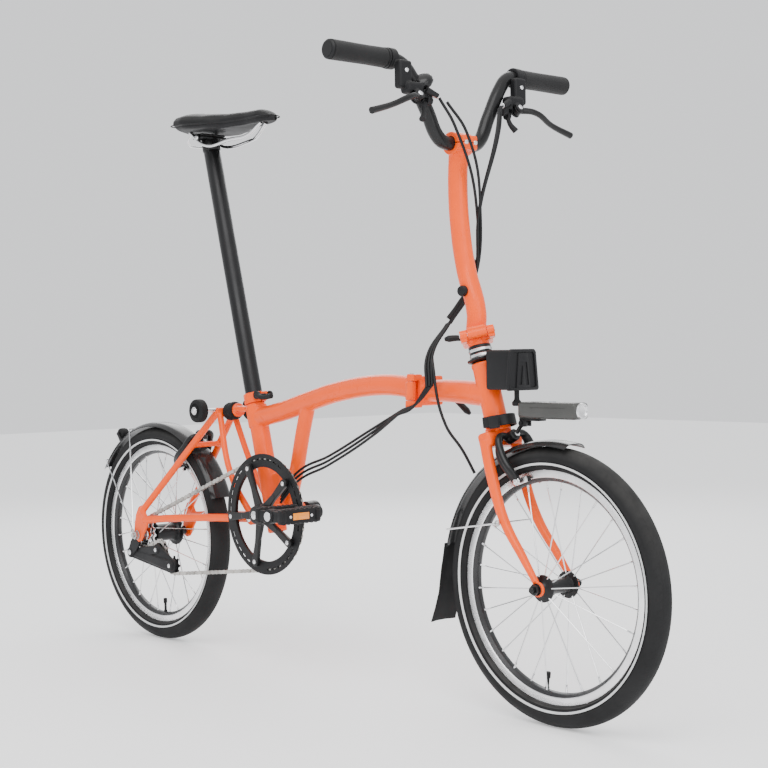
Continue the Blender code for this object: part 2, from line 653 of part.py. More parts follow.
# ---------------------------------------------------------------- chain line
def belt(circles, step=12):
    """The line of a belt round circles of (centre, radius, way); way is 1 for anticlockwise as
    seen along +Y reversed, -1 for clockwise. Arcs get a point every step degrees."""
    count = len(circles)
    leave, arrive = [], [0.0] * count
    for i, (centre, radius, way) in enumerate(circles):
        other, radius_2, way_2 = circles[(i + 1) % count]
        gap = other - centre
        along = math.atan2(gap.z, gap.x)
        heading = along + math.asin((way * radius - way_2 * radius_2) / gap.length)
        leave.append(heading - way * math.pi / 2)
        arrive[(i + 1) % count] = heading - way_2 * math.pi / 2
    points = []
    for i, (centre, radius, way) in enumerate(circles):
        swing = (way * (leave[i] - arrive[i])) % (2 * math.pi)
        parts = max(2, int(math.degrees(swing) / step))
        for k in range(parts + 1):
            a = arrive[i] + way * swing * k / parts
            points.append(centre + Vector((math.cos(a), 0, math.sin(a))) * radius)
    return points


CHAIN_LINE = belt([(REAR_AXLE, SPROCKET_PITCH_R, -1), (BB, RING_PITCH_R, -1), (IDLER, JOCKEY_PITCH_R, -1),
                   (GUIDE, JOCKEY_PITCH_R, 1)])
links = [(-CHAIN_HALF_W, -CHAIN_HALF_H), (CHAIN_HALF_W, -CHAIN_HALF_H), (CHAIN_HALF_W, CHAIN_HALF_H),
         (-CHAIN_HALF_W, CHAIN_HALF_H)]


def chain():
    """A closed band as wide and as high as the links, on the pitch line."""
    bm = bmesh.new()
    count = len(CHAIN_LINE)
    rings = []
    for i, point in enumerate(CHAIN_LINE):
        tangent = (CHAIN_LINE[(i + 1) % count] - CHAIN_LINE[i - 1]).normalized()
        lift = tangent.cross(Y_AXIS)
        rings.append([bm.verts.new(point + Y_AXIS * (CHAIN_Y + a) + lift * b) for a, b in links])
    return ring_faces(bm, rings, closed=True)


piece("chain", "rear_frame", chain(), STEEL)
WHEEL_CUT = CHAIN_HALF_H + SLACK
piece("sprocket", "sprocket",
      disc(REAR_AXLE, Y_AXIS, SPROCKET_PITCH_R - WHEEL_CUT, CHAIN_Y - 0.003, CHAIN_Y + 0.003, 20,
           bore=AXLE_R + RUN), STEEL,
      add=[disc(REAR_AXLE, Y_AXIS, 0.016, CHAIN_Y + 0.002, CHAIN_Y + 0.0085, 14, bore=AXLE_R + RUN)])
for wheel, at in (("guide_wheel", GUIDE), ("idler_wheel", IDLER)):
    piece(wheel, wheel, disc(at, Y_AXIS, JOCKEY_PITCH_R - WHEEL_CUT, CHAIN_Y - 0.003, CHAIN_Y + 0.003, 22,
                             bore=JOCKEY_PIN_R + RUN), PLASTIC)
arm_y = CHAIN_Y - CHAIN_HALF_W - 0.0038
arm_outline = [ARM_PIVOT + Vector((-0.013, 0, 0.004)), ARM_PIVOT + Vector((-0.002, 0, 0.013)),
               GUIDE + Vector((0.002, 0, 0.010)), IDLER + Vector((0.012, 0, 0.010)),
               IDLER + Vector((0.014, 0, -0.008)), IDLER + Vector((-0.004, 0, -0.014)),
               ARM_PIVOT + Vector((0.004, 0, -0.013)), ARM_PIVOT + Vector((-0.010, 0, -0.009))]
piece("tensioner_arm", "tensioner", plate([(p.x, p.z) for p in arm_outline], arm_y - 0.0030, arm_y + 0.0025),
      PLASTIC,
      add=[rod(at + Y_AXIS * (arm_y + 0.001), at + Y_AXIS * (CHAIN_Y + 0.0035), JOCKEY_PIN_R, 12)
           for at in (GUIDE, IDLER)],
      cut=[disc(ARM_PIVOT, Y_AXIS, HINGE_PIN_R / 2 + RUN, -0.08, -0.03, 14)])


# ---------------------------------------------------------------- rear frame
def rear_frame():
    """Chainstays, seatstays and struts between the hinge, the dropouts and the top plate."""
    spindle = disc(REAR_HINGE, Y_AXIS, HINGE_PIN_R, -YOKE_OUT - 0.003, YOKE_OUT + 0.003, 16)
    parts = []
    for side in (-1, 1):
        drop_y = side * (REAR_OLD / 2 + DROPOUT_T / 2)
        parts += [
            disc(REAR_HINGE, Y_AXIS, LUG_R, *sorted((side * (LUG_HALF + GAP), side * YOKE_OUT)), 18),
            sweep(curve([low(0.020, drop_y, 0.031), low(0.110, side * 0.0470, 0.040),
                         low(0.205, side * 0.0340, 0.047),
                         REAR_HINGE + Y_AXIS * side * 0.0275], 2), STAY_R, 10),
            sweep([low(0.012, drop_y, 0.046), TOP_PLATE + Vector((-0.006, side * 0.020, 0))],
                  STAY_R * 0.93, 10),
            sweep([TOP_PLATE + Vector((-0.004, side * 0.016, 0)), rear(0.268, side * 0.028, -0.080),
                   REAR_HINGE + Y_AXIS * side * 0.0285], [0.006, 0.006, 0.0065], 8),
            plate([(p.x, p.z) for p in (
                low(-0.012, 0, 0.004), low(-0.009, 0, 0.030), low(0.006, 0, 0.058), low(0.020, 0, 0.056),
                low(0.034, 0, 0.034), low(0.030, 0, 0.018), low(0.012, 0, -0.013), low(-0.008, 0, -0.013))],
                drop_y - DROPOUT_T / 2, drop_y + DROPOUT_T / 2),
        ]
    bridge_at = polar(REAR_AXLE, REAR_BRAKE, MUDGUARD_R + PIVOT_RISE)
    parts += [
        soft_block(TOP_PLATE + Vector((-0.006, 0, 0.003)), (0.014, 0.050, 0.012), 0.003),
        disc(TOP_PLATE, STOP_DIR, 0.012, -0.004, 0.0035, 16),
        rod(bridge_at - Y_AXIS * 0.036, bridge_at + Y_AXIS * 0.036, 0.0055, 10),
        rod(low(0.270, -0.0330, 0.050), low(0.270, 0.0330, 0.050), 0.005, 10),
        rod(ROLLER - Y_AXIS * 0.074, ROLLER + Y_AXIS * 0.074, 0.004, 10),
        rod(ARM_PIVOT + Y_AXIS * (arm_y - 0.009), low(-0.006, -REAR_OLD / 2 - 0.003, -0.010), 0.004, 8),
        rod(ARM_PIVOT + Y_AXIS * (arm_y - 0.011), ARM_PIVOT + Y_AXIS * (arm_y + 0.004), HINGE_PIN_R / 2, 12),
    ]
    parts.append(caliper_bolt(REAR_AXLE, REAR_BRAKE, BRAKE_SET))
    bore = [disc(REAR_AXLE, Y_AXIS, AXLE_R + GAP, -0.08, 0.08, 12)]
    return piece("rear_frame", "rear_frame", spindle, ORANGE, add=parts, cut=bore)


piece("suspension_block", "rear_frame",
      turned([(0.012, 0.0), (0.017, 0.004), (0.017, BLOCK_LENGTH - 0.004), (0.0125, BLOCK_LENGTH)],
             BLOCK_BACK, STOP_DIR, 18), RUBBER)
axle("rear_axle", "rear_frame", REAR_AXLE, REAR_OLD, 0.074)
tyre("rear_tyre", "rear_wheel", REAR_AXLE)
rim("rear_rim", "rear_wheel", REAR_AXLE)
hub("rear_hub", "rear_wheel", REAR_AXLE, (CHAIN_Y + 0.0092, REAR_OLD / 2 - 0.003), 0.017, 0.027,
    (-0.028, 0.030), 25)


def mudguard(name, owner, centre, start, end, stays):
    """A curved strip over the tyre, with the wire stays that hold it."""
    steps = max(6, int(abs(end - start) / 9))
    half = MUDGUARD_W / 2
    section = [(-half, -0.006), (-half * 0.8, 0.0), (half * 0.8, 0.0), (half, -0.006),
               (half, -0.006 + MUDGUARD_T), (half * 0.8, MUDGUARD_T), (-half * 0.8, MUDGUARD_T),
               (-half, -0.006 + MUDGUARD_T)]
    bm = bmesh.new()
    rings = []
    for i in range(steps + 1):
        angle = start + (end - start) * i / steps
        rings.append([bm.verts.new(polar(centre, angle, MUDGUARD_R + up, across)) for across, up in section])
    return piece(name, owner, ring_faces(bm, rings, closed=False), PLASTIC, add=stays)


def stay_wires(centre, angle, foot, foot_y):
    """One wire each side, from an eyelet near the dropout to the strip's edge, and over it."""
    edge = MUDGUARD_W / 2 - 0.001
    over = [polar(centre, angle, MUDGUARD_R + 0.0012, side * edge) for side in (-1, 1)]
    return [sweep([centre + foot + Y_AXIS * -foot_y, over[0], polar(centre, angle, MUDGUARD_R + 0.0022, 0),
                   over[1], centre + foot + Y_AXIS * foot_y], 0.0012, 6)]


roller_out = (BACK_ROLLER - REAR_AXLE).normalized()
roller_legs = [block(BACK_ROLLER - roller_out * 0.0075 + Y_AXIS * side * 0.0125, (0.006, 0.003, 0.023),
                     upward=roller_out, across=roller_out.cross(Y_AXIS)) for side in (-1, 1)]
roller_pin = rod(BACK_ROLLER - Y_AXIS * 0.0135, BACK_ROLLER + Y_AXIS * 0.0135, 0.0025, 10)
mudguard("rear_mudguard", "rear_frame", REAR_AXLE, 22, 146, roller_legs + [roller_pin]
         + stay_wires(REAR_AXLE, 112, Vector((-0.012, 0, 0.010)), REAR_OLD / 2 + DROPOUT_T + 0.0022)
         + stay_wires(REAR_AXLE, 141, Vector((-0.012, 0, 0.006)), REAR_OLD / 2 + DROPOUT_T + 0.0022))


def roller(name, centre, radius, y_low, y_high, bore):
    profile = [(bore, y_low), (radius - 0.003, y_low), (radius, y_low + 0.003), (radius, y_high - 0.003),
               (radius - 0.003, y_high), (bore, y_high)]
    return piece(name, name, turned(profile, centre, Y_AXIS, 14, closed=True), RUBBER)


roller("right_roller", ROLLER, 0.022, -0.072, -0.052, 0.0044)
roller("left_roller", ROLLER, 0.022, 0.052, 0.072, 0.0044)
roller("mudguard_roller", BACK_ROLLER, 0.012, -0.010, 0.010, 0.0029)


# ---------------------------------------------------------------- rim brakes
def caliper(which, owner, wheel_centre, angle, backward):
    """Two arms on one bolt above the tyre, each with a pad beside the rim. backward moves the
    arms along the wheel, away from the bridge or the crown that the bolt goes through."""
    out = polar(wheel_centre, angle, 1.0) - wheel_centre
    along = Vector((-out.z, 0, out.x)) * backward
    base = wheel_centre + along
    track = RIM_R - PAD_TRACK
    pad_y = RIM_W / 2 + PAD_GAP
    pivot_r = MUDGUARD_R + PIVOT_RISE
    pad_up = (base + out * track - wheel_centre).normalized()
    pad_at = wheel_centre + pad_up * track
    pad_along = pad_up.cross(Y_AXIS)
    for side, word in ((1, "left"), (-1, "right")):
        shift = along.normalized() * (0.0045 * side)
        line = [base + shift + out * pivot_r, base + shift + out * (pivot_r + 0.002) + Y_AXIS * side * 0.022,
                base + shift + out * (MUDGUARD_R - 0.006) + Y_AXIS * side * 0.0315,
                pad_at + pad_up * 0.012 + Y_AXIS * side * 0.0300,
                pad_at + Y_AXIS * side * (pad_y + 0.009)]
        pad = soft_block(pad_at + Y_AXIS * side * (pad_y + 0.0035), (0.034, 0.007, PAD_H), 0.0012,
                         pad_along, pad_up)
        name = f"{which}_caliper_{word}"
        joint = base + out * pivot_r
        body(name, joint, owner)
        piece(name, name, sweep(curve(line, 2), 0.0042, 8), BLACK,
              add=[disc(joint + shift, along, 0.0075, -0.004, 0.004, 14), pad,
                   block(pad_at + Y_AXIS * side * (pad_y + 0.008), (0.008, 0.006, 0.008), pad_along, pad_up)],
              cut=[disc(joint, along, 0.0034, -0.02, 0.02, 12)])


def caliper_bolt(wheel_centre, angle, backward):
    """The bolt that the bridge or the crown holds, through both arms."""
    along = polar(wheel_centre, angle + 90, backward) - wheel_centre
    start = polar(wheel_centre, angle, MUDGUARD_R + PIVOT_RISE)
    return rod(start, start + along + along.normalized() * 0.012, 0.003, 10)


rear_frame()
caliper("rear", "rear_frame", REAR_AXLE, REAR_BRAKE, BRAKE_SET)


# ---------------------------------------------------------------- front frame
piece("front_frame", "front_frame",
      rod(steer(-HEAD_HALF), steer(HEAD_HALF), HEAD_R, 20), ORANGE,
      add=[sweep([FOLD_PIN - Y_AXIS * FOLD_PIN_Y + X_AXIS * 0.008, front(-0.215, 0, 0.0815), steer(0.000)],
                 [MAIN_R * 0.97, MAIN_R * 1.02, MAIN_R * 1.12], 16)]
      + hinge_half(FOLD_PIN, FOLD_AXIS, Y_AXIS, X_AXIS, FLANGE_REACH, middle=False),
      cut=[rod(steer(-HEAD_HALF - 0.01), steer(HEAD_HALF + 0.01), STEERER_R + SLACK, 18)])
BLOCK_LOW, BLOCK_HIGH = 0.084, 0.148
block_size = (PLATE_X - front(-0.118, 0, 0).x, 0.052, BLOCK_HIGH - BLOCK_LOW)
piece("luggage_block", "front_frame",
      soft_block(front(-0.089, 0, (BLOCK_LOW + BLOCK_HIGH) / 2), block_size, 0.004), BLACK,
      add=[soft_block(front(-0.063, 0, (BLOCK_LOW + BLOCK_HIGH) / 2),
                      (0.006, 0.070, BLOCK_HIGH - BLOCK_LOW), 0.002)],
      cut=[rod(steer(-0.02), steer(0.09), HEAD_R + GAP, 20), rod(steer(0.045), steer(0.12), 0.0262, 20),
           disc(LATCH, Z_AXIS, 0.0047, -0.02, 0.032, 14),
           block(front(-0.063, 0, BLOCK_HIGH - 0.012), (0.03, 0.012, 0.009))])
piece("luggage_latch", "luggage_latch", disc(LATCH, Z_AXIS, 0.004, -0.003, 0.022, 14), STEEL,
      add=[disc(LATCH, Z_AXIS, 0.0065, -0.004, 0.0, 14)])

# ---------------------------------------------------------------- fork and what turns with it
CROWN = steer(-0.072)


def fork():
    """Steerer, crown, two forward-curved blades and their dropouts."""
    parts = [disc(HEAD, HEAD_UP, 0.0205, -HEAD_HALF - 0.0085, -HEAD_HALF - SLACK, 18),
             soft_block(CROWN, (0.026, 0.078, 0.024), 0.005, HEAD_FRONT, HEAD_UP)]
    for side in (-1, 1):
        drop_y = side * (FRONT_OLD / 2 + DROPOUT_T / 2)
        line = [CROWN + Y_AXIS * side * 0.0345, front(-0.100, side * 0.0350, -0.036),
                FRONT_AXLE + Vector((-0.071, side * 0.0370, 0.100)), FRONT_AXLE + Vector((-0.030, side * 0.0385, 0.044)),
                FRONT_AXLE + Vector((-0.004, drop_y, 0.010))]
        parts += [sweep(curve(line, 2), [BLADE_R * (1.12 - 0.42 * i / 8) for i in range(9)], 10),
                  disc(FRONT_AXLE, Y_AXIS, 0.0115, *sorted((drop_y - DROPOUT_T / 2, drop_y + DROPOUT_T / 2)), 16)]
    parts += [caliper_bolt(FRONT_AXLE, FRONT_BRAKE, -BRAKE_SET),
              sweep([polar(FRONT_AXLE, FRONT_BRAKE - 8.3, MUDGUARD_R + PIVOT_RISE + 0.0025),
                     LIGHT_PIVOT + Vector((-0.004, 0, -0.004))], 0.0032, 8),
              disc(LIGHT_PIVOT, Y_AXIS, 0.006, -0.004, 0.004, 14)]
    return piece("fork", "fork", rod(CROWN, steer(HEAD_HALF - 0.001), STEERER_R, 18), ORANGE, add=parts,
                 cut=[disc(FRONT_AXLE, Y_AXIS, AXLE_R + GAP, -0.06, 0.06, 12),
                      disc(LIGHT_PIVOT, Y_AXIS, LIGHT_PIN_R + RUN, -0.02, 0.02, 10)])


fork()
axle("front_axle", "fork", FRONT_AXLE, FRONT_OLD, 0.056)
tyre("front_tyre", "front_wheel", FRONT_AXLE)
rim("front_rim", "front_wheel", FRONT_AXLE)
hub("front_hub", "front_wheel", FRONT_AXLE, (-FRONT_OLD / 2 + 0.0015, FRONT_OLD / 2 - 0.0015), 0.011, 0.0205,
    (-0.028, 0.028), 0)
flap_top = polar(FRONT_AXLE, 167, MUDGUARD_R + 0.001)
flap = sweep([flap_top, FRONT_AXLE + Vector((-0.226, 0, -0.030)), FRONT_AXLE + Vector((-0.243, 0, -0.080))],
             1.0, section=[(-0.023, -0.0009), (0.023, -0.0009), (0.023, 0.0009), (-0.023, 0.0009)],
             up=Vector((1, 0, 0.3)))
mudguard("front_mudguard", "fork", FRONT_AXLE, 79, 168, [flap]
         + stay_wires(FRONT_AXLE, 161, Vector((-0.075, 0, 0.094)), 0.0472))
caliper("front", "fork", FRONT_AXLE, FRONT_BRAKE, -BRAKE_SET)
LAMP = LIGHT_PIVOT + Vector((0.0605, 0, 0.0203))
piece("headlight", "headlight", soft_block(LAMP, (0.122, 0.034, 0.0255), 0.005), GREY,
      add=[block(LIGHT_PIVOT + Vector((0.0022, side * 0.0062, 0.0063)), (0.012, 0.0034, 0.0224))
           for side in (-1, 1)]
      + [rod(LIGHT_PIVOT - Y_AXIS * 0.0078, LIGHT_PIVOT + Y_AXIS * 0.0078, LIGHT_PIN_R, 10)])

# ---------------------------------------------------------------- stem
stack = [(0.0175, HEAD_HALF + SLACK), (0.0235, HEAD_HALF + 0.0055), (0.0185, HEAD_HALF + 0.009),
         (0.0185, HEAD_HALF + 0.0275), (0.0165, HEAD_HALF + 0.030), (0.0165, 0.088)]
piece("stem_base", "fork", turned(stack, HEAD, HEAD_UP, 18), ORANGE,
      add=hinge_half(STEM_PIN, STEM_AXIS, -STEM_OUT, -HEAD_UP, STEM_REACH, middle=False))
stem_line = curve([STEM_SPLIT + HEAD_UP * 0.009, front(-0.1595, 0, 0.205), front(-0.182, 0, 0.278),
                   front(-0.194, 0, 0.345), front(-0.198, 0, 0.415), BAR_CENTRE - Z_AXIS * 0.006], 2)
clamp_boss = disc(BAR_CENTRE, Y_AXIS, 0.0185, -0.019, 0.019, 18)
piece("stem", "stem", sweep(stem_line, STEM_R, 14), ORANGE,
      add=hinge_half(STEM_PIN, STEM_AXIS, -STEM_OUT, HEAD_UP, STEM_REACH, middle=True)
      + [clamp_boss, soft_block(BAR_CENTRE + X_AXIS * 0.020, (0.014, 0.034, 0.024), 0.003)],
      cut=[knuckle_bore(STEM_PIN, STEM_AXIS), disc(BAR_CENTRE, Y_AXIS, BAR_R + GAP, -0.03, 0.03, 18)])
piece("stem_hinge_lever", "stem_lever", disc(STEM_LEVER, -STEM_OUT, 0.0095, 0.0, 0.013, 14), BLACK,
      add=[sweep([STEM_LEVER - STEM_OUT * 0.009, STEM_LEVER - STEM_OUT * 0.010 - STEM_AXIS * 0.030 + HEAD_UP * 0.012,
                  STEM_LEVER - STEM_OUT * 0.010 - STEM_AXIS * 0.052 + HEAD_UP * 0.014], [0.0045, 0.0055, 0.005], 8)])


# ---------------------------------------------------------------- handlebar
def bar_half(side):
    """Half of the bar: straight in the clamp, up round two bends, then straight under the grip."""
    steps = [(0, 0.030, 0), (0, 0.045, 0.0065), (-0.001, 0.070, 0.0485), (-0.004, 0.102, 0.100),
             (-0.006, 0.117, 0.115), (-0.008, 0.136, BAR_TOP)]
    bend = curve([BAR_CENTRE + Vector((x, side * y, z)) for x, y, z in steps], 2)
    return bend + [BAR_CENTRE + Vector((-0.008, side * BAR_HALF, BAR_TOP))]


bar_line = bar_half(-1)[::-1] + bar_half(1)
piece("handlebar", "stem", sweep(bar_line, BAR_R), BLACK)
GRIP_BORE = BAR_R + 2 * GAP
BAR_END = BAR_CENTRE + Vector((-0.008, 0, BAR_TOP))
LEVER_AXIS = Vector((0.85, 0, 0.52)).normalized()
for side, word in ((1, "left"), (-1, "right")):
    grip_in = BAR_HALF - GRIP_LENGTH
    grip = [(GRIP_BORE, grip_in), (GRIP_R, grip_in), (GRIP_R, BAR_HALF - 0.002), (GRIP_BORE, BAR_HALF - 0.002)]
    piece(f"{word}_grip", "stem", turned(grip, BAR_END, Y_AXIS * side, 14, closed=True), RUBBER)
    clamp_y = side * (grip_in - 0.0075)
    lever_pivot = BAR_END + Vector((0.032, side * 0.113, -0.060))
    shift_pivot = BAR_END + Vector((0.026, side * 0.092, -0.070))
    body(f"{word}_brake_lever", lever_pivot, "stem")
    body(f"{word}_shifter", shift_pivot, "stem")
    lever_side = LEVER_AXIS * side
    extra = [disc(BAR_END + Vector((0.016, -0.087, -0.030)), Vector((0.3, -0.6, 0.74)), 0.017, -0.010, 0.006, 14)]
    piece(f"{word}_controls", "stem",
          turned([(BAR_R + SLACK, -0.0065), (0.0165, -0.0065), (0.0165, 0.0065), (BAR_R + SLACK, 0.0065)],
                 BAR_END + Y_AXIS * clamp_y, Y_AXIS, 12, closed=True), PLASTIC,
          add=[soft_block(BAR_END + Vector((0.0185, side * 0.130, -0.026)), (0.016, 0.026, 0.044), 0.003),
               soft_block(BAR_END + Vector((0.022, side * 0.114, -0.046)), (0.022, 0.034, 0.018), 0.004),
               rod(shift_pivot + Vector((0, side * 0.016, 0.012)), shift_pivot + Vector((0, side * -0.012, 0.004)),
                   0.008, 10)]
          + (extra if side < 0 else []),
          cut=[sweep(bar_line, BAR_R + 2 * GAP), disc(lever_pivot, lever_side, 0.0115, -0.0052, 0.0052, 12),
               disc(shift_pivot, Y_AXIS, 0.0125, *sorted((side * -0.001, side * 0.0075)), 10)])
    tip = lever_pivot + Vector((0.018, side * 0.112, -0.034))
    knee = lever_pivot + Vector((0.016, side * 0.024, -0.003))
    piece(f"{word}_brake_lever", f"{word}_brake_lever",
          disc(lever_pivot, lever_side, 0.0075, -0.0048, 0.0048, 14),
          BLACK, add=[sweep(curve([lever_pivot, knee, lever_pivot.lerp(tip, 0.6) + X_AXIS * 0.004, tip], 2),
                            0.0046, 8)])
    piece(f"{word}_shifter", f"{word}_shifter",
          disc(shift_pivot, Y_AXIS, 0.0062, *sorted((side * -0.0006, side * 0.0070)), 12),
          PLASTIC, add=[sweep([shift_pivot + Y_AXIS * side * 0.0032, shift_pivot + Vector((0.004, side * 0.006, -0.014)),
                               shift_pivot + Vector((0.009, side * 0.014, -0.025))], [0.003, 0.0036, 0.0042], 8)])


# ---------------------------------------------------------------- cables: each rides one body
def cable(name, owner, runs, radius=CABLE_R):
    lines = [curve(run, 2) for run in runs]
    return piece(name, owner, sweep(lines[0], radius, 5), PLASTIC,
                 add=[sweep(line, radius, 5) for line in lines[1:]])


GATHER = front(-0.178, 0.022, 0.345)
SLEEVE_TOP = front(-0.205, 0.034, 0.250)
SLEEVE_LOW = front(-0.233, 0.012, 0.192)
cable("handlebar_cables", "stem", [
    [BAR_END + Vector((0.036, side * 0.070, -0.058)), BAR_CENTRE + Vector((0.040, side * 0.048, 0.014)), GATHER,
     SLEEVE_TOP, SLEEVE_LOW] for side in (-1, 1)])
cable("steering_cables", "fork", [
    [SLEEVE_LOW + Vector((0, -0.002, -0.003)), front(-0.236, -0.030, 0.140), front(-0.225, -0.042, 0.090)],
    [SLEEVE_LOW + Vector((0.002, -0.001, -0.003)), front(-0.237, -0.016, 0.158), front(-0.222, -0.035, 0.115),
     front(-0.196, -0.036, 0.029),
     front(-0.172, -0.022, -0.012), front(-0.160, -0.008, -0.048)]])
cable("front_cables", "front_frame", [
    [front(-0.230, -0.044, 0.087), front(-0.258, -0.046, 0.058), front(-0.292, -0.045, 0.048)]])
cable("rear_cables", "main_frame", [
    [front(-0.292, -0.045, 0.0465), front(-0.370, -0.035, 0.012), front(-0.500, -0.020, -0.042),
     low(0.452, -0.020, 0.134), low(0.440, -0.023, 0.100), low(0.418, -0.0285, 0.092)]])
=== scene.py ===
# %% [markdown]
# # A small-wheeled folding bicycle, dressed for looks
# The frame that is loaded first is the engineering model: every node has its true size, place
# and joint. This lesson builds the finish round it: smooth painted tubes, spokes, chain links,
# tread, foam grips and a sewn saddle. Nothing here moves or resizes the frame.

# %% Load the frame
import json
import math

import bpy
from mathutils import Matrix, Vector


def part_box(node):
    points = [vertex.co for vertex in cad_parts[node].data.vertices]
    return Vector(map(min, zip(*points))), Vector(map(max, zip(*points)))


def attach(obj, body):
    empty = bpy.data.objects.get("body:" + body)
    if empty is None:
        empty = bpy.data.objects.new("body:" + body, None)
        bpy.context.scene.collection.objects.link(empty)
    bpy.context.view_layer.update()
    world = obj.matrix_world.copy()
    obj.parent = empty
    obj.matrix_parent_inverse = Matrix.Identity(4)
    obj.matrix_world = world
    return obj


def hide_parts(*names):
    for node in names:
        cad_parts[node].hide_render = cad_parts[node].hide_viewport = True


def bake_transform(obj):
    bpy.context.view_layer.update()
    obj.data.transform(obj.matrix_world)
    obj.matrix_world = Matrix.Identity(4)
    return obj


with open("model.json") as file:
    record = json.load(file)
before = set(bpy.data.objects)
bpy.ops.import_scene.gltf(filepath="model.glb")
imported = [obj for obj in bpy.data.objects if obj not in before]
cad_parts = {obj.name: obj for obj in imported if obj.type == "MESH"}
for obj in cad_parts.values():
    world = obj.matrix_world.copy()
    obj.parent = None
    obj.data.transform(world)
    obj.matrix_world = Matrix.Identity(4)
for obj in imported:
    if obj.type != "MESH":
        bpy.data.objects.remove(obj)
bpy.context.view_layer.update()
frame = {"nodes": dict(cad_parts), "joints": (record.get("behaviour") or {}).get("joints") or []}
joints = {joint["child"]: joint for joint in frame["joints"]}
at = {child: Vector(joint["pos_m"]) for child, joint in joints.items() if "pos_m" in joint}
axis = {child: Vector(joint["axis"]).normalized() for child, joint in joints.items()}

# %% [markdown]
# Places are taken from the joints: the axles, the crank, the steering and fold axes. Two short
# helpers give any other point by its distance from the nearer axle and its height above ground.

# %% Places
X, Y, Z = Vector((1, 0, 0)), Vector((0, 1, 0)), Vector((0, 0, 1))
REAR, FRONT, CRANK = at["rear_wheel"], at["front_wheel"], at["crank"]
FOLD, HEAD, STEM_PIN = at["front_frame"], at["fork"], at["stem"]
HEAD_UP, STEM_AXIS, SEAT_UP = axis["fork"], axis["stem"], axis["seat"]
HEAD_FRONT = Y.cross(HEAD_UP)
STEM_OUT = STEM_AXIS.cross(HEAD_UP)
TYRE_R = (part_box("rear_tyre")[1].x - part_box("rear_tyre")[0].x) / 2
CHAIN_Y = (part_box("chain")[0].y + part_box("chain")[1].y) / 2


def back(x, y, z):
    """A point: x from the rear axle, z above the ground."""
    return Vector((REAR.x + x, y, z))


def fore(x, y, z):
    """A point: x from the front axle, z above the ground."""
    return Vector((FRONT.x + x, y, z))


def polar(centre, degrees, radius, y=0.0):
    """A point round an axle: 0 degrees is forward and 90 is up."""
    turn = math.radians(degrees)
    return centre + Vector((math.cos(turn) * radius, y, math.sin(turn) * radius))


def steer(along, out=0.0, side=0.0):
    """A point by the steering axis."""
    return HEAD + HEAD_UP * along + HEAD_FRONT * out + Y * side


SEAT_TOP = back(0.305, 0, 0.496)
BAR = fore(-0.195, 0, 0.901)
print("tyre radius", round(TYRE_R, 4), "chain line", round(CHAIN_Y, 4))

# %% [markdown]
# The camera stands to the right of the bicycle and a little behind its front wheel's side, low
# down, with a long lens so that the two wheels keep nearly the same size.

# %% Camera
look = Vector((-0.7406, 0.6719, -0.0108)).normalized()
right = look.cross(Z).normalized()
lift = right.cross(look)
roll = math.radians(-0.722)
level_right = right * math.cos(roll) + lift * math.sin(roll)
level_up = lift * math.cos(roll) - right * math.sin(roll)
camera_data = bpy.data.cameras.new("camera")
camera_data.lens, camera_data.sensor_width = 72.41, 36
camera_data.shift_x, camera_data.shift_y = 0.0056, -0.0223
camera = bpy.data.objects.new("camera", camera_data)
bpy.context.scene.collection.objects.link(camera)
camera.matrix_world = Matrix((level_right, level_up, -look)).transposed().to_4x4()
camera.matrix_world.translation = Vector((2.0740, -1.7611, 0.5728))
bpy.context.scene.camera = camera
print("camera at", [round(c, 3) for c in camera.matrix_world.translation])

# %% [markdown]
# A pale floor catches a soft shadow. Three large area lights give the broad reflections that
# gloss paint needs: a key above, a fill by the camera and a cool one behind for the edges.

# %% Floor and lights
bpy.ops.object.select_all(action="DESELECT")
bpy.ops.mesh.primitive_plane_add(size=16, location=(0, 0, 0))
floor = bpy.context.object
floor.name = "floor"
floor_look = bpy.data.materials.new("floor_look")
floor_look.use_nodes = True
floor_look.node_tree.nodes["Principled BSDF"].inputs["Base Color"].default_value = (0.93, 0.93, 0.93, 1)
floor_look.node_tree.nodes["Principled BSDF"].inputs["Roughness"].default_value = 0.7
floor_look.node_tree.nodes["Principled BSDF"].inputs["Emission Color"].default_value = (1, 1, 1, 1)
floor_look.node_tree.nodes["Principled BSDF"].inputs["Emission Strength"].default_value = 0.35
floor.data.materials.append(floor_look)
world = bpy.data.worlds.new("studio")
bpy.context.scene.world = world
world.use_nodes = True
world.node_tree.nodes["Background"].inputs["Color"].default_value = (0.97, 0.98, 1.0, 1)
world.node_tree.nodes["Background"].inputs["Strength"].default_value = 1.15
LIGHTS = [("key", (1.2, -1.6, 2.6), 2.2, 62), ("fill", (2.6, -0.6, 1.2), 1.6, 16),
          ("edge", (-1.8, 1.6, 2.0), 2.0, 34)]
for name, place, size, power in LIGHTS:
    light = bpy.data.lights.new(name, "AREA")
    light.size, light.energy = size, power
    lamp = bpy.data.objects.new(name, light)
    bpy.context.scene.collection.objects.link(lamp)
    lamp.location = place
    lamp.rotation_euler = (Vector((0, 0, 0.4)) - Vector(place)).to_track_quat("-Z", "Y").to_euler()
print("lights:", len(LIGHTS))

# %% [markdown]
# Effects that several finishes share are shader node groups. **handling** gives slow changes
# over the surface, for uneven sheen and tone. **grain** gives fine height, for moulded skin,
# leather or the slight ripple of sprayed paint. **dust** finds what faces up, in patches.

# %% Shared shader groups
def new_group(name, inputs, outputs):
    group = bpy.data.node_groups.new(name, "ShaderNodeTree")
    for title, value in inputs:
        group.interface.new_socket(title, in_out="INPUT", socket_type="NodeSocketFloat").default_value = value
    for title in outputs:
        group.interface.new_socket(title, in_out="OUTPUT", socket_type="NodeSocketFloat")
    return group, group.nodes.new("NodeGroupInput"), group.nodes.new("NodeGroupOutput")


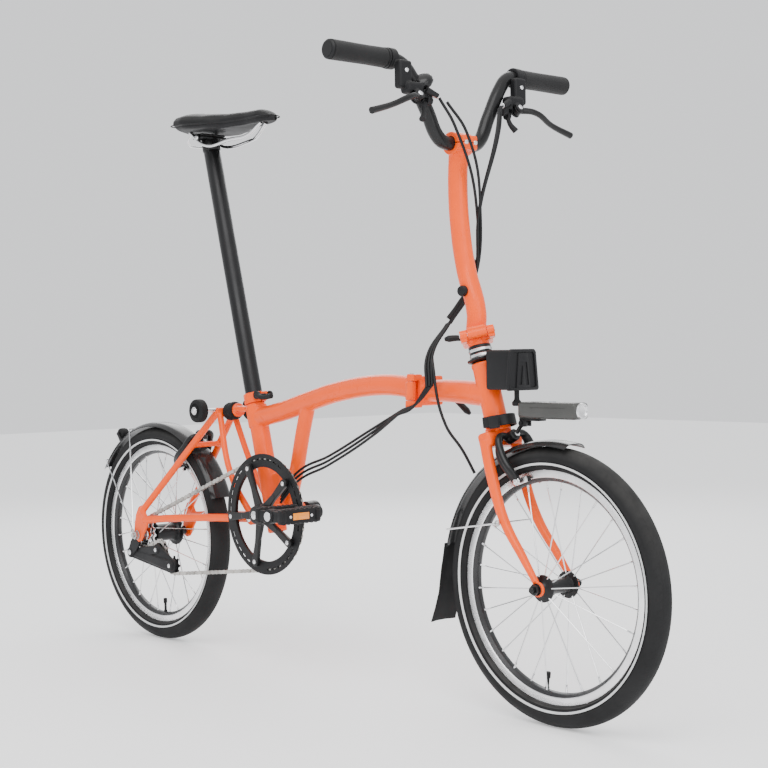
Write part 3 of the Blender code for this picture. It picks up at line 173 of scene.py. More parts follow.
def handling_group():
    group, start, end = new_group("handling", [("Scale", 12), ("Low", 0.3), ("High", 0.5)], ["Value"])
    place = group.nodes.new("ShaderNodeTexCoord")
    noise = group.nodes.new("ShaderNodeTexNoise")
    noise.inputs["Detail"].default_value = 6
    spread = group.nodes.new("ShaderNodeMapRange")
    spread.inputs["From Min"].default_value, spread.inputs["From Max"].default_value = 0.35, 0.65
    group.links.new(place.outputs["Object"], noise.inputs["Vector"])
    group.links.new(start.outputs["Scale"], noise.inputs["Scale"])
    group.links.new(noise.outputs["Fac"], spread.inputs["Value"])
    group.links.new(start.outputs["Low"], spread.inputs["To Min"])
    group.links.new(start.outputs["High"], spread.inputs["To Max"])
    group.links.new(spread.outputs["Result"], end.inputs["Value"])
    return group


def grain_group():
    group, start, end = new_group("grain", [("Scale", 800), ("Cells", 0.5)], ["Height"])
    place = group.nodes.new("ShaderNodeTexCoord")
    noise = group.nodes.new("ShaderNodeTexNoise")
    cells = group.nodes.new("ShaderNodeTexVoronoi")
    mix = group.nodes.new("ShaderNodeMix")
    for texture in (noise, cells):
        group.links.new(place.outputs["Object"], texture.inputs["Vector"])
        group.links.new(start.outputs["Scale"], texture.inputs["Scale"])
    group.links.new(start.outputs["Cells"], mix.inputs["Factor"])
    group.links.new(noise.outputs["Fac"], mix.inputs["A"])
    group.links.new(cells.outputs["Distance"], mix.inputs["B"])
    group.links.new(mix.outputs["Result"], end.inputs["Height"])
    return group


def dust_group():
    group, start, end = new_group("dust", [("Scale", 30), ("Amount", 0.3)], ["Mask"])
    place = group.nodes.new("ShaderNodeTexCoord")
    shape = group.nodes.new("ShaderNodeNewGeometry")
    noise = group.nodes.new("ShaderNodeTexNoise")
    split = group.nodes.new("ShaderNodeSeparateXYZ")
    up = group.nodes.new("ShaderNodeMapRange")
    up.inputs["From Min"].default_value, up.inputs["From Max"].default_value = 0.1, 1.0
    times, amount = (group.nodes.new("ShaderNodeMath") for _ in range(2))
    times.operation = amount.operation = "MULTIPLY"
    group.links.new(place.outputs["Object"], noise.inputs["Vector"])
    group.links.new(start.outputs["Scale"], noise.inputs["Scale"])
    group.links.new(shape.outputs["Normal"], split.inputs["Vector"])
    group.links.new(split.outputs["Z"], up.inputs["Value"])
    group.links.new(up.outputs["Result"], times.inputs[0])
    group.links.new(noise.outputs["Fac"], times.inputs[1])
    group.links.new(times.outputs[0], amount.inputs[0])
    group.links.new(start.outputs["Amount"], amount.inputs[1])
    group.links.new(amount.outputs[0], end.inputs["Mask"])
    return group


HANDLING, GRAIN, DUST = handling_group(), grain_group(), dust_group()
print("groups:", HANDLING.name, GRAIN.name, DUST.name)

# %% [markdown]
# A finish is one Principled shader with constants on its own sockets, and the groups above for
# what varies: sheen, tone, fine height and dust.

# %% Finishes
def use_group(material, group, **values):
    node = material.node_tree.nodes.new("ShaderNodeGroup")
    node.node_tree = group
    for title, value in values.items():
        node.inputs[title].default_value = value
    return node


def finish(name, colour, rough=(0.3, 0.45), metal=0.0, coat=0.0, coat_rough=0.08, tone=0.12,
           grain=(900, 0.3, 0.02),
           dust=0.12, sheen=0.0, scale=14, specular=0.22):
    """A Principled material: rough is the low and high roughness, grain its scale, cells and depth."""
    material = bpy.data.materials.new(name)
    material.use_nodes = True
    nodes, links = material.node_tree.nodes, material.node_tree.links
    shader = nodes["Principled BSDF"]
    shader.inputs["Metallic"].default_value = metal
    shader.inputs["Coat Weight"].default_value = coat
    shader.inputs["Coat Roughness"].default_value = coat_rough
    shader.inputs["Sheen Weight"].default_value = sheen
    shader.inputs["Specular IOR Level"].default_value = 0.5 if metal else specular
    sheen_change = use_group(material, HANDLING, Scale=scale, Low=rough[0], High=rough[1])
    links.new(sheen_change.outputs["Value"], shader.inputs["Roughness"])
    tone_change = use_group(material, HANDLING, Scale=scale * 2.7, Low=1 - tone, High=1.0)
    darker = nodes.new("ShaderNodeMix")
    darker.data_type, darker.blend_type = "RGBA", "MULTIPLY"
    darker.inputs["Factor"].default_value = 1
    darker.inputs["A"].default_value = (*colour, 1)
    links.new(tone_change.outputs["Value"], darker.inputs["B"])
    settled = use_group(material, DUST, Scale=40, Amount=dust)
    dusty = nodes.new("ShaderNodeMix")
    dusty.data_type = "RGBA"
    dusty.inputs["B"].default_value = (0.42, 0.40, 0.37, 1)
    links.new(settled.outputs["Mask"], dusty.inputs["Factor"])
    links.new(darker.outputs["Result"], dusty.inputs["A"])
    links.new(dusty.outputs["Result"], shader.inputs["Base Color"])
    texture = use_group(material, GRAIN, Scale=grain[0], Cells=grain[1])
    bump = nodes.new("ShaderNodeBump")
    bump.inputs["Strength"].default_value = 1.0
    bump.inputs["Distance"].default_value = grain[2] * 0.001
    links.new(texture.outputs["Height"], bump.inputs["Height"])
    links.new(bump.outputs["Normal"], shader.inputs["Normal"])
    return material


orange_gloss = finish("orange_gloss", (1.0, 0.095, 0.0), (0.26, 0.36), coat=0.12, coat_rough=0.05, tone=0.06,
                      grain=(240, 0.0, 0.02), dust=0.03)
black_satin = finish("black_satin", (0.008, 0.008, 0.0085), (0.28, 0.42), coat=0.15, grain=(700, 0.2, 0.02),
                     dust=0.05)
black_anodised = finish("black_anodised", (0.012, 0.012, 0.013), (0.3, 0.45), metal=0.5,
                        grain=(1200, 0.3, 0.015), dust=0.04)
moulded_black = finish("moulded_black", (0.010, 0.010, 0.011), (0.42, 0.58), grain=(1500, 0.6, 0.06),
                       dust=0.08)
gloss_black = finish("gloss_black", (0.007, 0.007, 0.008), (0.18, 0.3), coat=0.25, grain=(300, 0.0, 0.02),
                     dust=0.10)
tyre_black = finish("tyre_black", (0.012, 0.012, 0.0125), (0.62, 0.8), grain=(900, 0.5, 0.08), dust=0.14)
soft_rubber = finish("soft_rubber", (0.010, 0.010, 0.0105), (0.6, 0.78), grain=(1100, 0.7, 0.08), dust=0.08)
foam_black = finish("foam_black", (0.010, 0.010, 0.0105), (0.75, 0.9), grain=(1400, 0.9, 0.16), sheen=0.12,
                    dust=0.04)
saddle_skin = finish("saddle_skin", (0.010, 0.010, 0.0105), (0.4, 0.56), grain=(700, 0.85, 0.10), dust=0.07)
rim_silver = finish("rim_silver", (0.93, 0.93, 0.94), (0.2, 0.32), metal=1.0, grain=(500, 0.1, 0.01),
                    dust=0.05)
polished = finish("polished", (0.82, 0.82, 0.83), (0.14, 0.26), metal=1.0, tone=0.08, grain=(600, 0.1, 0.01),
                  dust=0.03)
zinc = finish("zinc", (0.62, 0.62, 0.61), (0.3, 0.45), metal=1.0, tone=0.2, grain=(900, 0.4, 0.02), dust=0.06)
chain_metal = finish("chain_metal", (0.55, 0.53, 0.5), (0.28, 0.5), metal=1.0, tone=0.3,
                     grain=(1200, 0.4, 0.02), dust=0.05)
lamp_grey = finish("lamp_grey", (0.055, 0.055, 0.052), (0.3, 0.42), coat=0.2, grain=(1300, 0.5, 0.04),
                   dust=0.05)
amber = finish("amber", (0.95, 0.30, 0.02), (0.12, 0.2), coat=0.8, grain=(520, 1.0, 0.25), dust=0.02)
band_white = finish("band_white", (0.62, 0.63, 0.63), (0.3, 0.42), grain=(1500, 0.8, 0.03), dust=0.1)
slate = finish("slate", (0.28, 0.31, 0.34), (0.35, 0.5), grain=(1200, 0.5, 0.03), dust=0.05)
print("finishes:", len(bpy.data.materials))

# %% [markdown]
# Hand tools, named for what a maker would do. Each one adds a primitive or a curve, shapes it
# with Blender's own operators in edit mode and leaves one clean mesh at the origin:
# `turned` spins an outline, `pipe` sweeps a round bar, `slab` bevels a block, `plate` extrudes
# an outline, `weld` melts several into one with the soft fillets of painted steel.

# %% Tools for shaping
def alone(obj):
    bpy.ops.object.select_all(action="DESELECT")
    obj.select_set(True)
    bpy.context.view_layer.objects.active = obj
    return obj


def settle(obj, angle=38):
    """Puts the place and turn into the mesh and smooths what isn't a real edge."""
    alone(obj)
    bpy.ops.object.transform_apply(location=True, rotation=True, scale=True)
    bpy.ops.object.shade_smooth_by_angle(angle=math.radians(angle))
    return obj


def apply_all(obj):
    alone(obj)
    for modifier in list(obj.modifiers):
        bpy.ops.object.modifier_apply(modifier=modifier.name)
    return obj


def bevelled(obj, width, segments=2, angle=35):
    if width:
        modifier = obj.modifiers.new("edges", "BEVEL")
        modifier.width, modifier.segments, modifier.angle_limit = width, segments, math.radians(angle)
        modifier.use_clamp_overlap = True
        apply_all(obj)
    return settle(obj)


def outline_mesh(points, fill="NOTHING"):
    """A closed outline of points in space, in edit mode with all of it selected."""
    bpy.ops.object.select_all(action="DESELECT")
    bpy.ops.mesh.primitive_circle_add(vertices=len(points), radius=1, fill_type=fill)
    obj = bpy.context.object
    for vertex, point in zip(obj.data.vertices, points):
        vertex.co = point
    bpy.ops.object.mode_set(mode="EDIT")
    bpy.ops.mesh.select_all(action="SELECT")
    return obj


def turned(profile, centre, along, steps=48, bevel=0.0):
    """Spins a closed outline of (radius, along) pairs round an axis."""
    along = Vector(along).normalized()
    across = along.orthogonal().normalized()
    points = [Vector(centre) + across * radius + along * height for radius, height in profile]
    obj = outline_mesh(points)
    bpy.ops.mesh.spin(steps=steps, angle=2 * math.pi, center=centre, axis=along)
    bpy.ops.mesh.select_all(action="SELECT")
    bpy.ops.mesh.remove_doubles(threshold=1e-6)
    bpy.ops.mesh.dissolve_degenerate()
    bpy.ops.mesh.normals_make_consistent(inside=False)
    bpy.ops.object.mode_set(mode="OBJECT")
    return bevelled(obj, bevel) if bevel else settle(obj)


def disc(centre, along, radius, low, high, bore=0.0, steps=32, edge=0.0004):
    """A disc or washer with broken edges."""
    profile = [(bore, low), (radius - edge, low), (radius, low + edge), (radius, high - edge),
               (radius - edge, high),
               (bore, high)]
    return turned(profile, centre, along, steps)


def pipe(points, radius, sides=20, smooth=True, ends=True):
    """A round bar through points; radius is one value or one for each point."""
    data = bpy.data.curves.new("bar", "CURVE")
    data.dimensions, data.bevel_depth, data.use_fill_caps = "3D", 1.0, ends
    data.bevel_resolution, data.resolution_u = max(1, sides // 4 - 1), 8
    spline = data.splines.new("BEZIER")
    spline.bezier_points.add(len(points) - 1)
    radii = radius if isinstance(radius, (list, tuple)) else [radius] * len(points)
    for knot, point, size in zip(spline.bezier_points, points, radii):
        knot.co, knot.radius = point, size
        knot.handle_left_type = knot.handle_right_type = "AUTO" if smooth else "VECTOR"
    obj = bpy.data.objects.new("bar", data)
    bpy.context.scene.collection.objects.link(obj)
    alone(obj)
    bpy.ops.object.convert(target="MESH")
    obj = bpy.context.object
    bpy.ops.object.mode_set(mode="EDIT")
    bpy.ops.mesh.select_all(action="SELECT")
    bpy.ops.mesh.remove_doubles(threshold=1e-6)
    bpy.ops.mesh.normals_make_consistent(inside=False)
    bpy.ops.object.mode_set(mode="OBJECT")
    return settle(obj, 50)


def slab(size, centre, across=X, upward=Z, bevel=0.001, segments=2):
    """A block with broken edges: size is across, sideways and upward."""
    across, upward = Vector(across).normalized(), Vector(upward).normalized()
    bpy.ops.object.select_all(action="DESELECT")
    bpy.ops.mesh.primitive_cube_add(size=1)
    obj = bpy.context.object
    turn = Matrix((across, upward.cross(across), upward)).transposed().to_4x4()
    obj.matrix_world = Matrix.Translation(centre) @ turn @ Matrix.Diagonal((*size, 1))
    bpy.ops.object.transform_apply(location=True, rotation=True, scale=True)
    return bevelled(obj, bevel, segments)


def plate(points, thickness, bevel=0.0006):
    """A flat outline, extruded along thickness (a vector)."""
    obj = outline_mesh(points, "NGON")
    bpy.ops.mesh.extrude_region_move(TRANSFORM_OT_translate={"value": thickness})
    bpy.ops.mesh.select_all(action="SELECT")
    bpy.ops.mesh.normals_make_consistent(inside=False)
    bpy.ops.object.mode_set(mode="OBJECT")
    return bevelled(obj, bevel)


def join(first, *others):
    """One mesh out of several."""
    alone(first)
    for other in others:
        other.select_set(True)
    bpy.ops.object.join()
    return bpy.context.object


def cut(obj, *tools):
    """Removes each tool's shape from obj, as a drill or a mill would."""
    for tool in tools:
        modifier = obj.modifiers.new("cut", "BOOLEAN")
        modifier.operation, modifier.object = "DIFFERENCE", tool
        apply_all(obj)
        bpy.data.objects.remove(tool, do_unlink=True)
    return settle(obj)


def weld(parts, voxel=0.0012, soften=3):
    """Melts overlapping parts into one skin, with small fillets where they meet."""
    obj = join(*parts) if len(parts) > 1 else parts[0]
    alone(obj)
    modifier = obj.modifiers.new("skin", "REMESH")
    modifier.mode, modifier.voxel_size, modifier.use_smooth_shade = "VOXEL", voxel, True
    smooth = obj.modifiers.new("soften", "SMOOTH")
    smooth.factor, smooth.iterations = 0.5, soften
    apply_all(obj)
    bpy.ops.object.shade_smooth()
    return obj


def keep(obj, name, body, slot, look, *stands_for):
    """Names the piece, gives it its finish and lets it ride on its body, if it rides on just one."""
    obj.name = obj.data.name = name
    obj.data.materials.clear()
    obj.data.materials.append(look)
    for face in obj.data.polygons:
        face.material_index = 0
    if body:
        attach(obj, body)
    if stands_for:
        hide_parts(*stands_for)
    return obj


def same(obj):
    """A copy with its own mesh."""
    twin = obj.copy()
    twin.data = obj.data.copy()
    bpy.context.scene.collection.objects.link(twin)
    return twin


def bolt(head, along, radius=0.004, height=0.003, socket=True):
    """A button-head bolt with a six-sided socket."""
    along = Vector(along).normalized()
    profile = [(0, 0), (radius, 0), (radius, height * 0.45), (radius * 0.8, height * 0.85),
               (radius * 0.45, height)]
    profile += [(radius * 0.42, height * 0.35), (0, height * 0.35)] if socket else [(0, height)]
    return turned(profile, head, along, 12)


def nut(centre, along, radius, height):
    """A chamfered six-sided nut."""
    along = Vector(along).normalized()
    profile = [(0, 0), (radius * 0.94, 0), (radius, height * 0.12), (radius, height * 0.88),
               (radius * 0.9, height),
               (0, height)]
    return turned(profile, centre, along, 6)


print("tools ready")

# %% [markdown]
# ## Wheels
# A small tyre is a rubber carcass with a shallow patterned tread and a pale reflective band on
# each side. Its outline is spun round the axle. The tread pattern is cut by the shader, from the
# angle round the wheel and the place across it, because hundreds of modelled sipes would be
# heavy and would show only at arm's length.

# %% Tread pattern
def add_math(material, operation, *inputs):
    node = material.node_tree.nodes.new("ShaderNodeMath")
    node.operation = operation
    for socket, value in zip(node.inputs, inputs):
        if isinstance(value, (int, float)):
            socket.default_value = value
        else:
            material.node_tree.links.new(value, socket)
    return node.outputs[0]


def tread_look(name, centre):
    """Tyre rubber whose tread has slanted grooves and a centre line, read from Object coordinates."""
    material = tyre_black.copy()
    material.name = name
    nodes, links = material.node_tree.nodes, material.node_tree.links
    place = nodes.new("ShaderNodeTexCoord")
    shift = nodes.new("ShaderNodeMapping")
    shift.inputs["Location"].default_value = -centre
    split = nodes.new("ShaderNodeSeparateXYZ")
    links.new(place.outputs["Object"], shift.inputs["Vector"])
    links.new(shift.outputs["Vector"], split.inputs["Vector"])
    x, y, z = (split.outputs[axis_name] for axis_name in "XYZ")
    angle = add_math(material, "ARCTAN2", z, x)
    offset = add_math(material, "ABSOLUTE", y)
    slant = add_math(material, "ADD", add_math(material, "MULTIPLY", angle, 108 / (2 * math.pi)),
                     add_math(material, "MULTIPLY", offset, 70))
    groove = add_math(material, "LESS_THAN", add_math(material, "FRACT", slant), 0.16)
    outside = add_math(material, "GREATER_THAN", offset, 0.0035)
    inside = add_math(material, "LESS_THAN", offset, 0.0165)
    cuts = add_math(material, "MULTIPLY", add_math(material, "MULTIPLY", groove, outside), inside)
    line = add_math(material, "COMPARE", offset, 0.0, 0.0009)
    ribs = add_math(material, "COMPARE", offset, 0.0098, 0.0006)
    lines = add_math(material, "MAXIMUM", line, ribs)
    radius = add_math(material, "POWER", add_math(material, "ADD", add_math(material, "MULTIPLY", x, x),
                                                  add_math(material, "MULTIPLY", z, z)), 0.5)
    on_tread = add_math(material, "GREATER_THAN", radius, TYRE_R * 0.93)
    depth = add_math(material, "MULTIPLY", add_math(material, "MAXIMUM", cuts, lines), on_tread)
    height = add_math(material, "MULTIPLY", depth, -1)
    carve = nodes.new("ShaderNodeBump")
    carve.inputs["Distance"].default_value = 0.0012
    links.new(height, carve.inputs["Height"])
    fine = next(node for node in nodes if node.type == "BUMP" and node != carve)
    links.new(carve.outputs["Normal"], fine.inputs["Normal"])
    return material


# %% Tyres
BAND = ((0.1850, 0.0180), (0.1850, 0.0189), (0.1866, 0.0195), (0.1884, 0.01985), (0.1884, 0.0190))
RIM_TOP = (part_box("rear_rim")[1].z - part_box("rear_rim")[0].z) / 2
TYRE_HALF = (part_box("rear_tyre")[1].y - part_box("rear_tyre")[0].y) / 2


def tyre_outline():
    """Bead, sidewall with a moulding line, shoulder and crown, then back down the other side."""
    middle = 0.195
    side = [(RIM_TOP + 0.0004, 0.0098), (RIM_TOP + 0.0010, 0.0128), (0.1800, 0.0142), (0.1812, 0.0166)]
    for degrees in range(-28, 91, 9):
        turn = math.radians(degrees)
        side.append((middle + (TYRE_R - middle) * math.sin(turn), TYRE_HALF * math.cos(turn)))
    return side[:-1] + [(TYRE_R, 0)] + [(r, -h) for r, h in side[:-1][::-1]]


for end, centre in (("rear", REAR), ("front", FRONT)):
    tyre = turned(tyre_outline(), centre, Y, 128)
    keep(tyre, f"{end}_tyre_tread", f"{end}_wheel", "tyre_rubber", tread_look(f"{end}_tread", centre),
         f"{end}_tyre")
    bands = []
    for side in (-1, 1):
        outline = [(radius, out * side) for radius, out in BAND]
        bands.append(turned(outline, centre, Y, 128))
    keep(join(*bands), f"{end}_sidewall_bands", f"{end}_wheel", "tyre_rubber", band_white)
print("tyre outline points:", len(tyre_outline()))

# %% [markdown]
# The rim is an extruded box section: a machined braking track on each side and a rounded bed.
# The spokes are drawn from alternate flanges, and each has a nipple.

# %% Rims
RIM_HALF = (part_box("rear_rim")[1].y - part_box("rear_rim")[0].y) / 2
RIM_BED = RIM_TOP - 0.018
SPOKES = 28


def rim_outline():
    side = [(RIM_TOP, 0.0088), (RIM_TOP, RIM_HALF - 0.0003), (RIM_TOP - 0.0006, RIM_HALF),
            (RIM_TOP - 0.0105, RIM_HALF),
            (RIM_TOP - 0.0115, RIM_HALF - 0.0008), (RIM_BED + 0.0028, 0.0068), (RIM_BED + 0.0006, 0.0045),
            (RIM_BED, 0.0018)]
    return side + [(r, -h) for r, h in side[::-1]] + [(RIM_TOP - 0.0035, -0.0082), (RIM_TOP - 0.0035, 0.0082)]


def rim_look(name, centre):
    """Black, with bare braking tracks that keep the fine circular lines a lathe leaves."""
    material = rim_silver.copy()
    material.name = name
    nodes, links = material.node_tree.nodes, material.node_tree.links
    place = nodes.new("ShaderNodeTexCoord")
    shift = nodes.new("ShaderNodeMapping")
    shift.inputs["Location"].default_value = -centre
    split = nodes.new("ShaderNodeSeparateXYZ")
    links.new(place.outputs["Object"], shift.inputs["Vector"])
    links.new(shift.outputs["Vector"], split.inputs["Vector"])
    x, z = split.outputs["X"], split.outputs["Z"]
    radius = add_math(material, "POWER", add_math(material, "ADD", add_math(material, "MULTIPLY", x, x),
                                                  add_math(material, "MULTIPLY", z, z)), 0.5)
    wave = add_math(material, "SINE", add_math(material, "MULTIPLY", radius, 9000))
    lines = nodes.new("ShaderNodeBump")
    lines.inputs["Distance"].default_value = 0.00004
    links.new(wave, lines.inputs["Height"])
    side = add_math(material, "ABSOLUTE", split.outputs["Y"], 0)
    bare = add_math(material, "GREATER_THAN", side, RIM_HALF - 0.0009)
    shader = nodes["Principled BSDF"]
    silver = shader.inputs["Base Color"].links[0].from_socket
    coats = nodes.new("ShaderNodeMix")
    coats.data_type = "RGBA"
    coats.inputs["A"].default_value = (0.012, 0.012, 0.013, 1)
    links.new(bare, coats.inputs["Factor"])
    links.new(silver, coats.inputs["B"])
    links.new(coats.outputs["Result"], shader.inputs["Base Color"])
    links.new(bare, shader.inputs["Metallic"])
    fine = next(node for node in nodes if node.type == "BUMP" and node != lines)
    links.new(lines.outputs["Normal"], fine.inputs["Normal"])
    return material


for end, centre in (("rear", REAR), ("front", FRONT)):
    rim = turned(rim_outline(), centre, Y, 120)
    keep(rim, f"{end}_machined_rim", f"{end}_wheel", "machined_aluminium",
         rim_look(f"{end}_rim_lines", centre),
         f"{end}_rim")
    stem_angle = -88 if end == "rear" else -97
    stem_foot, stem_tip = polar(centre, stem_angle, RIM_BED + 0.001), polar(centre, stem_angle,
                                                                            RIM_BED - 0.022)
    inward = (stem_tip - stem_foot).normalized()
    valve = turned([(0, 0), (0.0034, 0), (0.0034, 0.004), (0.0026, 0.005), (0.0026, 0.018), (0.0038, 0.0185),
                    (0.0038, 0.0265), (0.003, 0.028), (0, 0.028)], stem_foot, inward, 16)
    keep(valve, f"{end}_valve", f"{end}_wheel", "pedal_plastic", moulded_black)
print("rim bed radius", round(RIM_BED, 4))

# %% Hubs and spokes
def spoke_set(centre, flange_r, flanges, lean):
    """Spokes as thin bars from flange to rim, each with an elbow and a nipple."""
    bars, nipples = [], []
    for k in range(SPOKES):
        degrees = 360 * (k + 0.5) / SPOKES
        side = flanges[k % 2]
        swing = lean * (1 if k % 4 < 2 else -1)
        outside = 0.0016 * (1 if side > 0 else -1) * (1 if k % 4 < 2 else -1)
        root = polar(centre, degrees + swing, flange_r - 0.0032, side)
        elbow = polar(centre, degrees + swing * 0.96, flange_r - 0.0022, side + outside)
        tip = polar(centre, degrees, RIM_BED + 0.0005, side * 0.06)
        bars.append(pipe([root, elbow, elbow.lerp(tip, 0.02), tip], 0.0010, 8, smooth=False))
        pull = (elbow - tip).normalized()
        nipples.append(turned([(0, 0), (0.0021, 0), (0.0021, 0.0022), (0.0015, 0.003), (0.0015, 0.012),
                               (0, 0.012)],
                              tip, pull, 8))
    return join(*bars), join(*nipples)


def hub_outline(low, high, barrel, flange_r, flanges):
    right, left = flanges
    neck = 0.0088
    side = [(0.005, low), (neck - 0.001, low), (neck, low + 0.001), (neck + 0.001, right - 0.0045),
            (flange_r - 0.006, right - 0.0026), (flange_r, right - 0.0015), (flange_r, right + 0.0010),
            (flange_r - 0.007, right + 0.0022), (barrel, right + 0.0065)]
    mirror = [(barrel, left - 0.0065), (flange_r - 0.007, left - 0.0022), (flange_r, left - 0.0010),
              (flange_r, left + 0.0015), (flange_r - 0.006, left + 0.0026), (neck + 0.001, left + 0.0045),
              (neck, high - 0.001), (neck - 0.001, high), (0.005, high)]
    return side + mirror


HUBS = [("rear", REAR, (-0.0352, 0.0525), 0.0168, 0.0272, (-0.028, 0.030), 25),
        ("front", FRONT, (-0.035, 0.035), 0.0108, 0.0208, (-0.028, 0.028), 0)]
for end, centre, (low, high), barrel, flange_r, flanges, lean in HUBS:
    shell = turned(hub_outline(low, high, barrel, flange_r, flanges), centre, Y, 48)
    keep(shell, f"{end}_hub_shell", f"{end}_wheel", "black_paint", black_anodised, f"{end}_hub")
    spokes, nipples = spoke_set(centre, flange_r, flanges, lean)
    keep(spokes, f"{end}_spokes", f"{end}_wheel", "zinc_steel", polished)
    keep(nipples, f"{end}_nipples", f"{end}_wheel", "zinc_steel", polished)
    half = (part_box(f"{end}_axle")[1].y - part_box(f"{end}_axle")[0].y) / 2
    face = {"rear": 0.0613, "front": 0.0423}[end]
    ends = [disc(centre, Y, 0.0045, -half, half, steps=20)]
    for side in (-1, 1):
        ends.append(disc(centre + Y * side * (face + 0.0007), Y * side, 0.0094, 0, 0.0011, bore=0.004))
        ends.append(nut(centre + Y * side * (face + 0.0018), Y * side, 0.0088, 0.0066))
    owner, look = ("rear_frame", zinc) if end == "rear" else ("fork", black_satin)
    keep(join(*ends), f"{end}_axle_nuts", owner, "zinc_steel", look, f"{end}_axle")
print("spokes per wheel:", SPOKES)

# %% [markdown]
# ## Painted steel
# The main tube, the seat tube, the bottom bracket and the strut are brazed into one, then
# painted. The tubes are swept, the lugs are blocks and turnings, and `weld` melts them together
# so that each joint gets a small fillet, as brass and thick paint leave it.

# %% Hinge halves
BARREL_R, HINGE_HALF, BARREL_MID, FLANGE_T = 0.008, 0.0275, 0.0155, 0.011
LIP = 0.0004


def hinge_half(pin, along, inward, normal, reach, middle):
    """One cast half of a folding hinge: a rounded flange, a dished back and knuckles on the pin."""
    upright = normal.cross(inward)
    face = pin + inward * (BARREL_R + reach / 2 + 0.002) + normal * (LIP + FLANGE_T / 2)
    parts = [slab((FLANGE_T, reach - 0.004, 2 * HINGE_HALF - 0.006), face, normal, upright, 0.0035, 3)]
    root = pin + inward * 0.006 + normal * (LIP + FLANGE_T / 2)
    if middle:
        parts += [slab((FLANGE_T - 0.001, 0.019, 2 * BARREL_MID - 0.003), root, normal, upright, 0.001),
                  disc(pin, along, BARREL_R, -BARREL_MID, BARREL_MID)]
        return parts
    ear = HINGE_HALF - BARREL_MID
    for side in (-1, 1):
        parts += [slab((FLANGE_T - 0.001, 0.019, ear - 0.0015),
                       root + upright * side * (BARREL_MID + ear / 2 + 0.0006),
                       normal, upright, 0.001),
                  disc(pin, along, BARREL_R, *sorted((side * (BARREL_MID + 0.0005), side * HINGE_HALF)))]
    return parts


# %% Main frame
FOLD_MID = Vector((FOLD.x, 0, FOLD.z))
main_line = [SEAT_TOP - SEAT_UP * 0.047 + X * 0.004, back(0.392, 0, 0.464), back(0.465, 0, 0.4825),
             back(0.552, 0, 0.502),
             fore(-0.395, 0, 0.5135), fore(-0.335, 0, 0.5125), FOLD_MID - X * 0.008]
SEAT_FOOT = SEAT_TOP - SEAT_UP * 0.262
RIGHT_LUG = at["rear_frame"]
STOP_AT = SEAT_TOP - SEAT_UP * 0.034 - X * 0.058
STOP_DIR = (SEAT_TOP - RIGHT_LUG).cross(Y).normalized() * -1
parts = [
    pipe(main_line, 0.018, 40),
    disc(SEAT_FOOT, SEAT_UP, 0.0178, 0, 0.2415, steps=40),
    disc(SEAT_TOP, SEAT_UP, 0.0200, -0.064, -0.024, steps=40, edge=0.001),
    disc(CRANK, Y, 0.0195, -0.034, 0.034, steps=40, edge=0.0006),
    pipe([back(0.462, 0, 0.470), back(0.449, 0, 0.430), back(0.430, 0, 0.362), back(0.404, 0, 0.290)], 0.0135,
         28),
    slab((0.030, 0.010, 0.062), back(0.378, 0, 0.320), SEAT_UP.cross(Y) * -1, SEAT_UP, 0.003),
    disc(RIGHT_LUG, Y, 0.0115, -0.020, 0.020, steps=28),
    slab((0.020, 0.030, 0.018), RIGHT_LUG + Vector((0.013, 0, 0.002)), bevel=0.002),
    slab((0.052, 0.028, 0.010), STOP_AT + Vector((0.026, 0, 0.003)), bevel=0.003),
    disc(STOP_AT, STOP_DIR, 0.013, -0.003, 0.005, steps=28),
]
parts += hinge_half(FOLD, axis["front_frame"], Y, -X, 0.056, True)
main = weld(parts, 0.0013)
cut(main, disc(SEAT_FOOT - SEAT_UP * 0.02, SEAT_UP, 0.0162, 0, 0.30, steps=40),
    disc(CRANK, Y, 0.0152, -0.05, 0.05, steps=32))
keep(main, "main_frame_welded", "main_frame", "orange_paint", orange_gloss, "main_frame")
print("main frame faces:", len(main.data.polygons))

# %% Front frame: hinge half, tube and head tube
parts = [disc(HEAD, HEAD_UP, 0.0185, -0.052, 0.052, steps=40, edge=0.0006),
         disc(HEAD, HEAD_UP, 0.0196, -0.052, -0.045, steps=40, edge=0.0008),
         disc(HEAD, HEAD_UP, 0.0196, 0.045, 0.052, steps=40, edge=0.0008),
         pipe([FOLD_MID + X * 0.008, fore(-0.215, 0, 0.5055), steer(0)], [0.0175, 0.0184, 0.0202], 40)]
parts += hinge_half(FOLD, axis["front_frame"], Y, X, 0.056, False)
front = weld(parts, 0.0013)
cut(front, disc(HEAD, HEAD_UP, 0.0139, -0.07, 0.07, steps=32))
keep(front, "front_frame_welded", "front_frame", "orange_paint", orange_gloss, "front_frame")

# %% [markdown]
# The main hinge's pin shows as a bright end above and below its knuckles. Its clamp plate is
# squeezed across both flanges by a bolt with a short plastic lever.

# %% Main hinge hardware
fold_axis = axis["front_frame"]
pin = [disc(FOLD, fold_axis, 0.0040, -HINGE_HALF - 0.0012, HINGE_HALF + 0.0012, steps=20)]
keep(join(*pin), "main_hinge_pin", "front_frame", "zinc_steel", zinc)
clamp_low, clamp_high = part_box("main_hinge_clamp")
middle = (clamp_low + clamp_high) / 2
jaw = slab((0.034, 0.0068, 0.034), Vector((middle.x, clamp_low.y + 0.0037, middle.z)), bevel=0.0016,
           segments=3)
boss = disc(Vector((middle.x, clamp_low.y + 0.006, middle.z)), Y, 0.0085, 0,
            clamp_high.y - clamp_low.y - 0.006)
keep(join(jaw, boss), "main_hinge_jaw", "main_frame", "zinc_steel", zinc, "main_hinge_clamp")


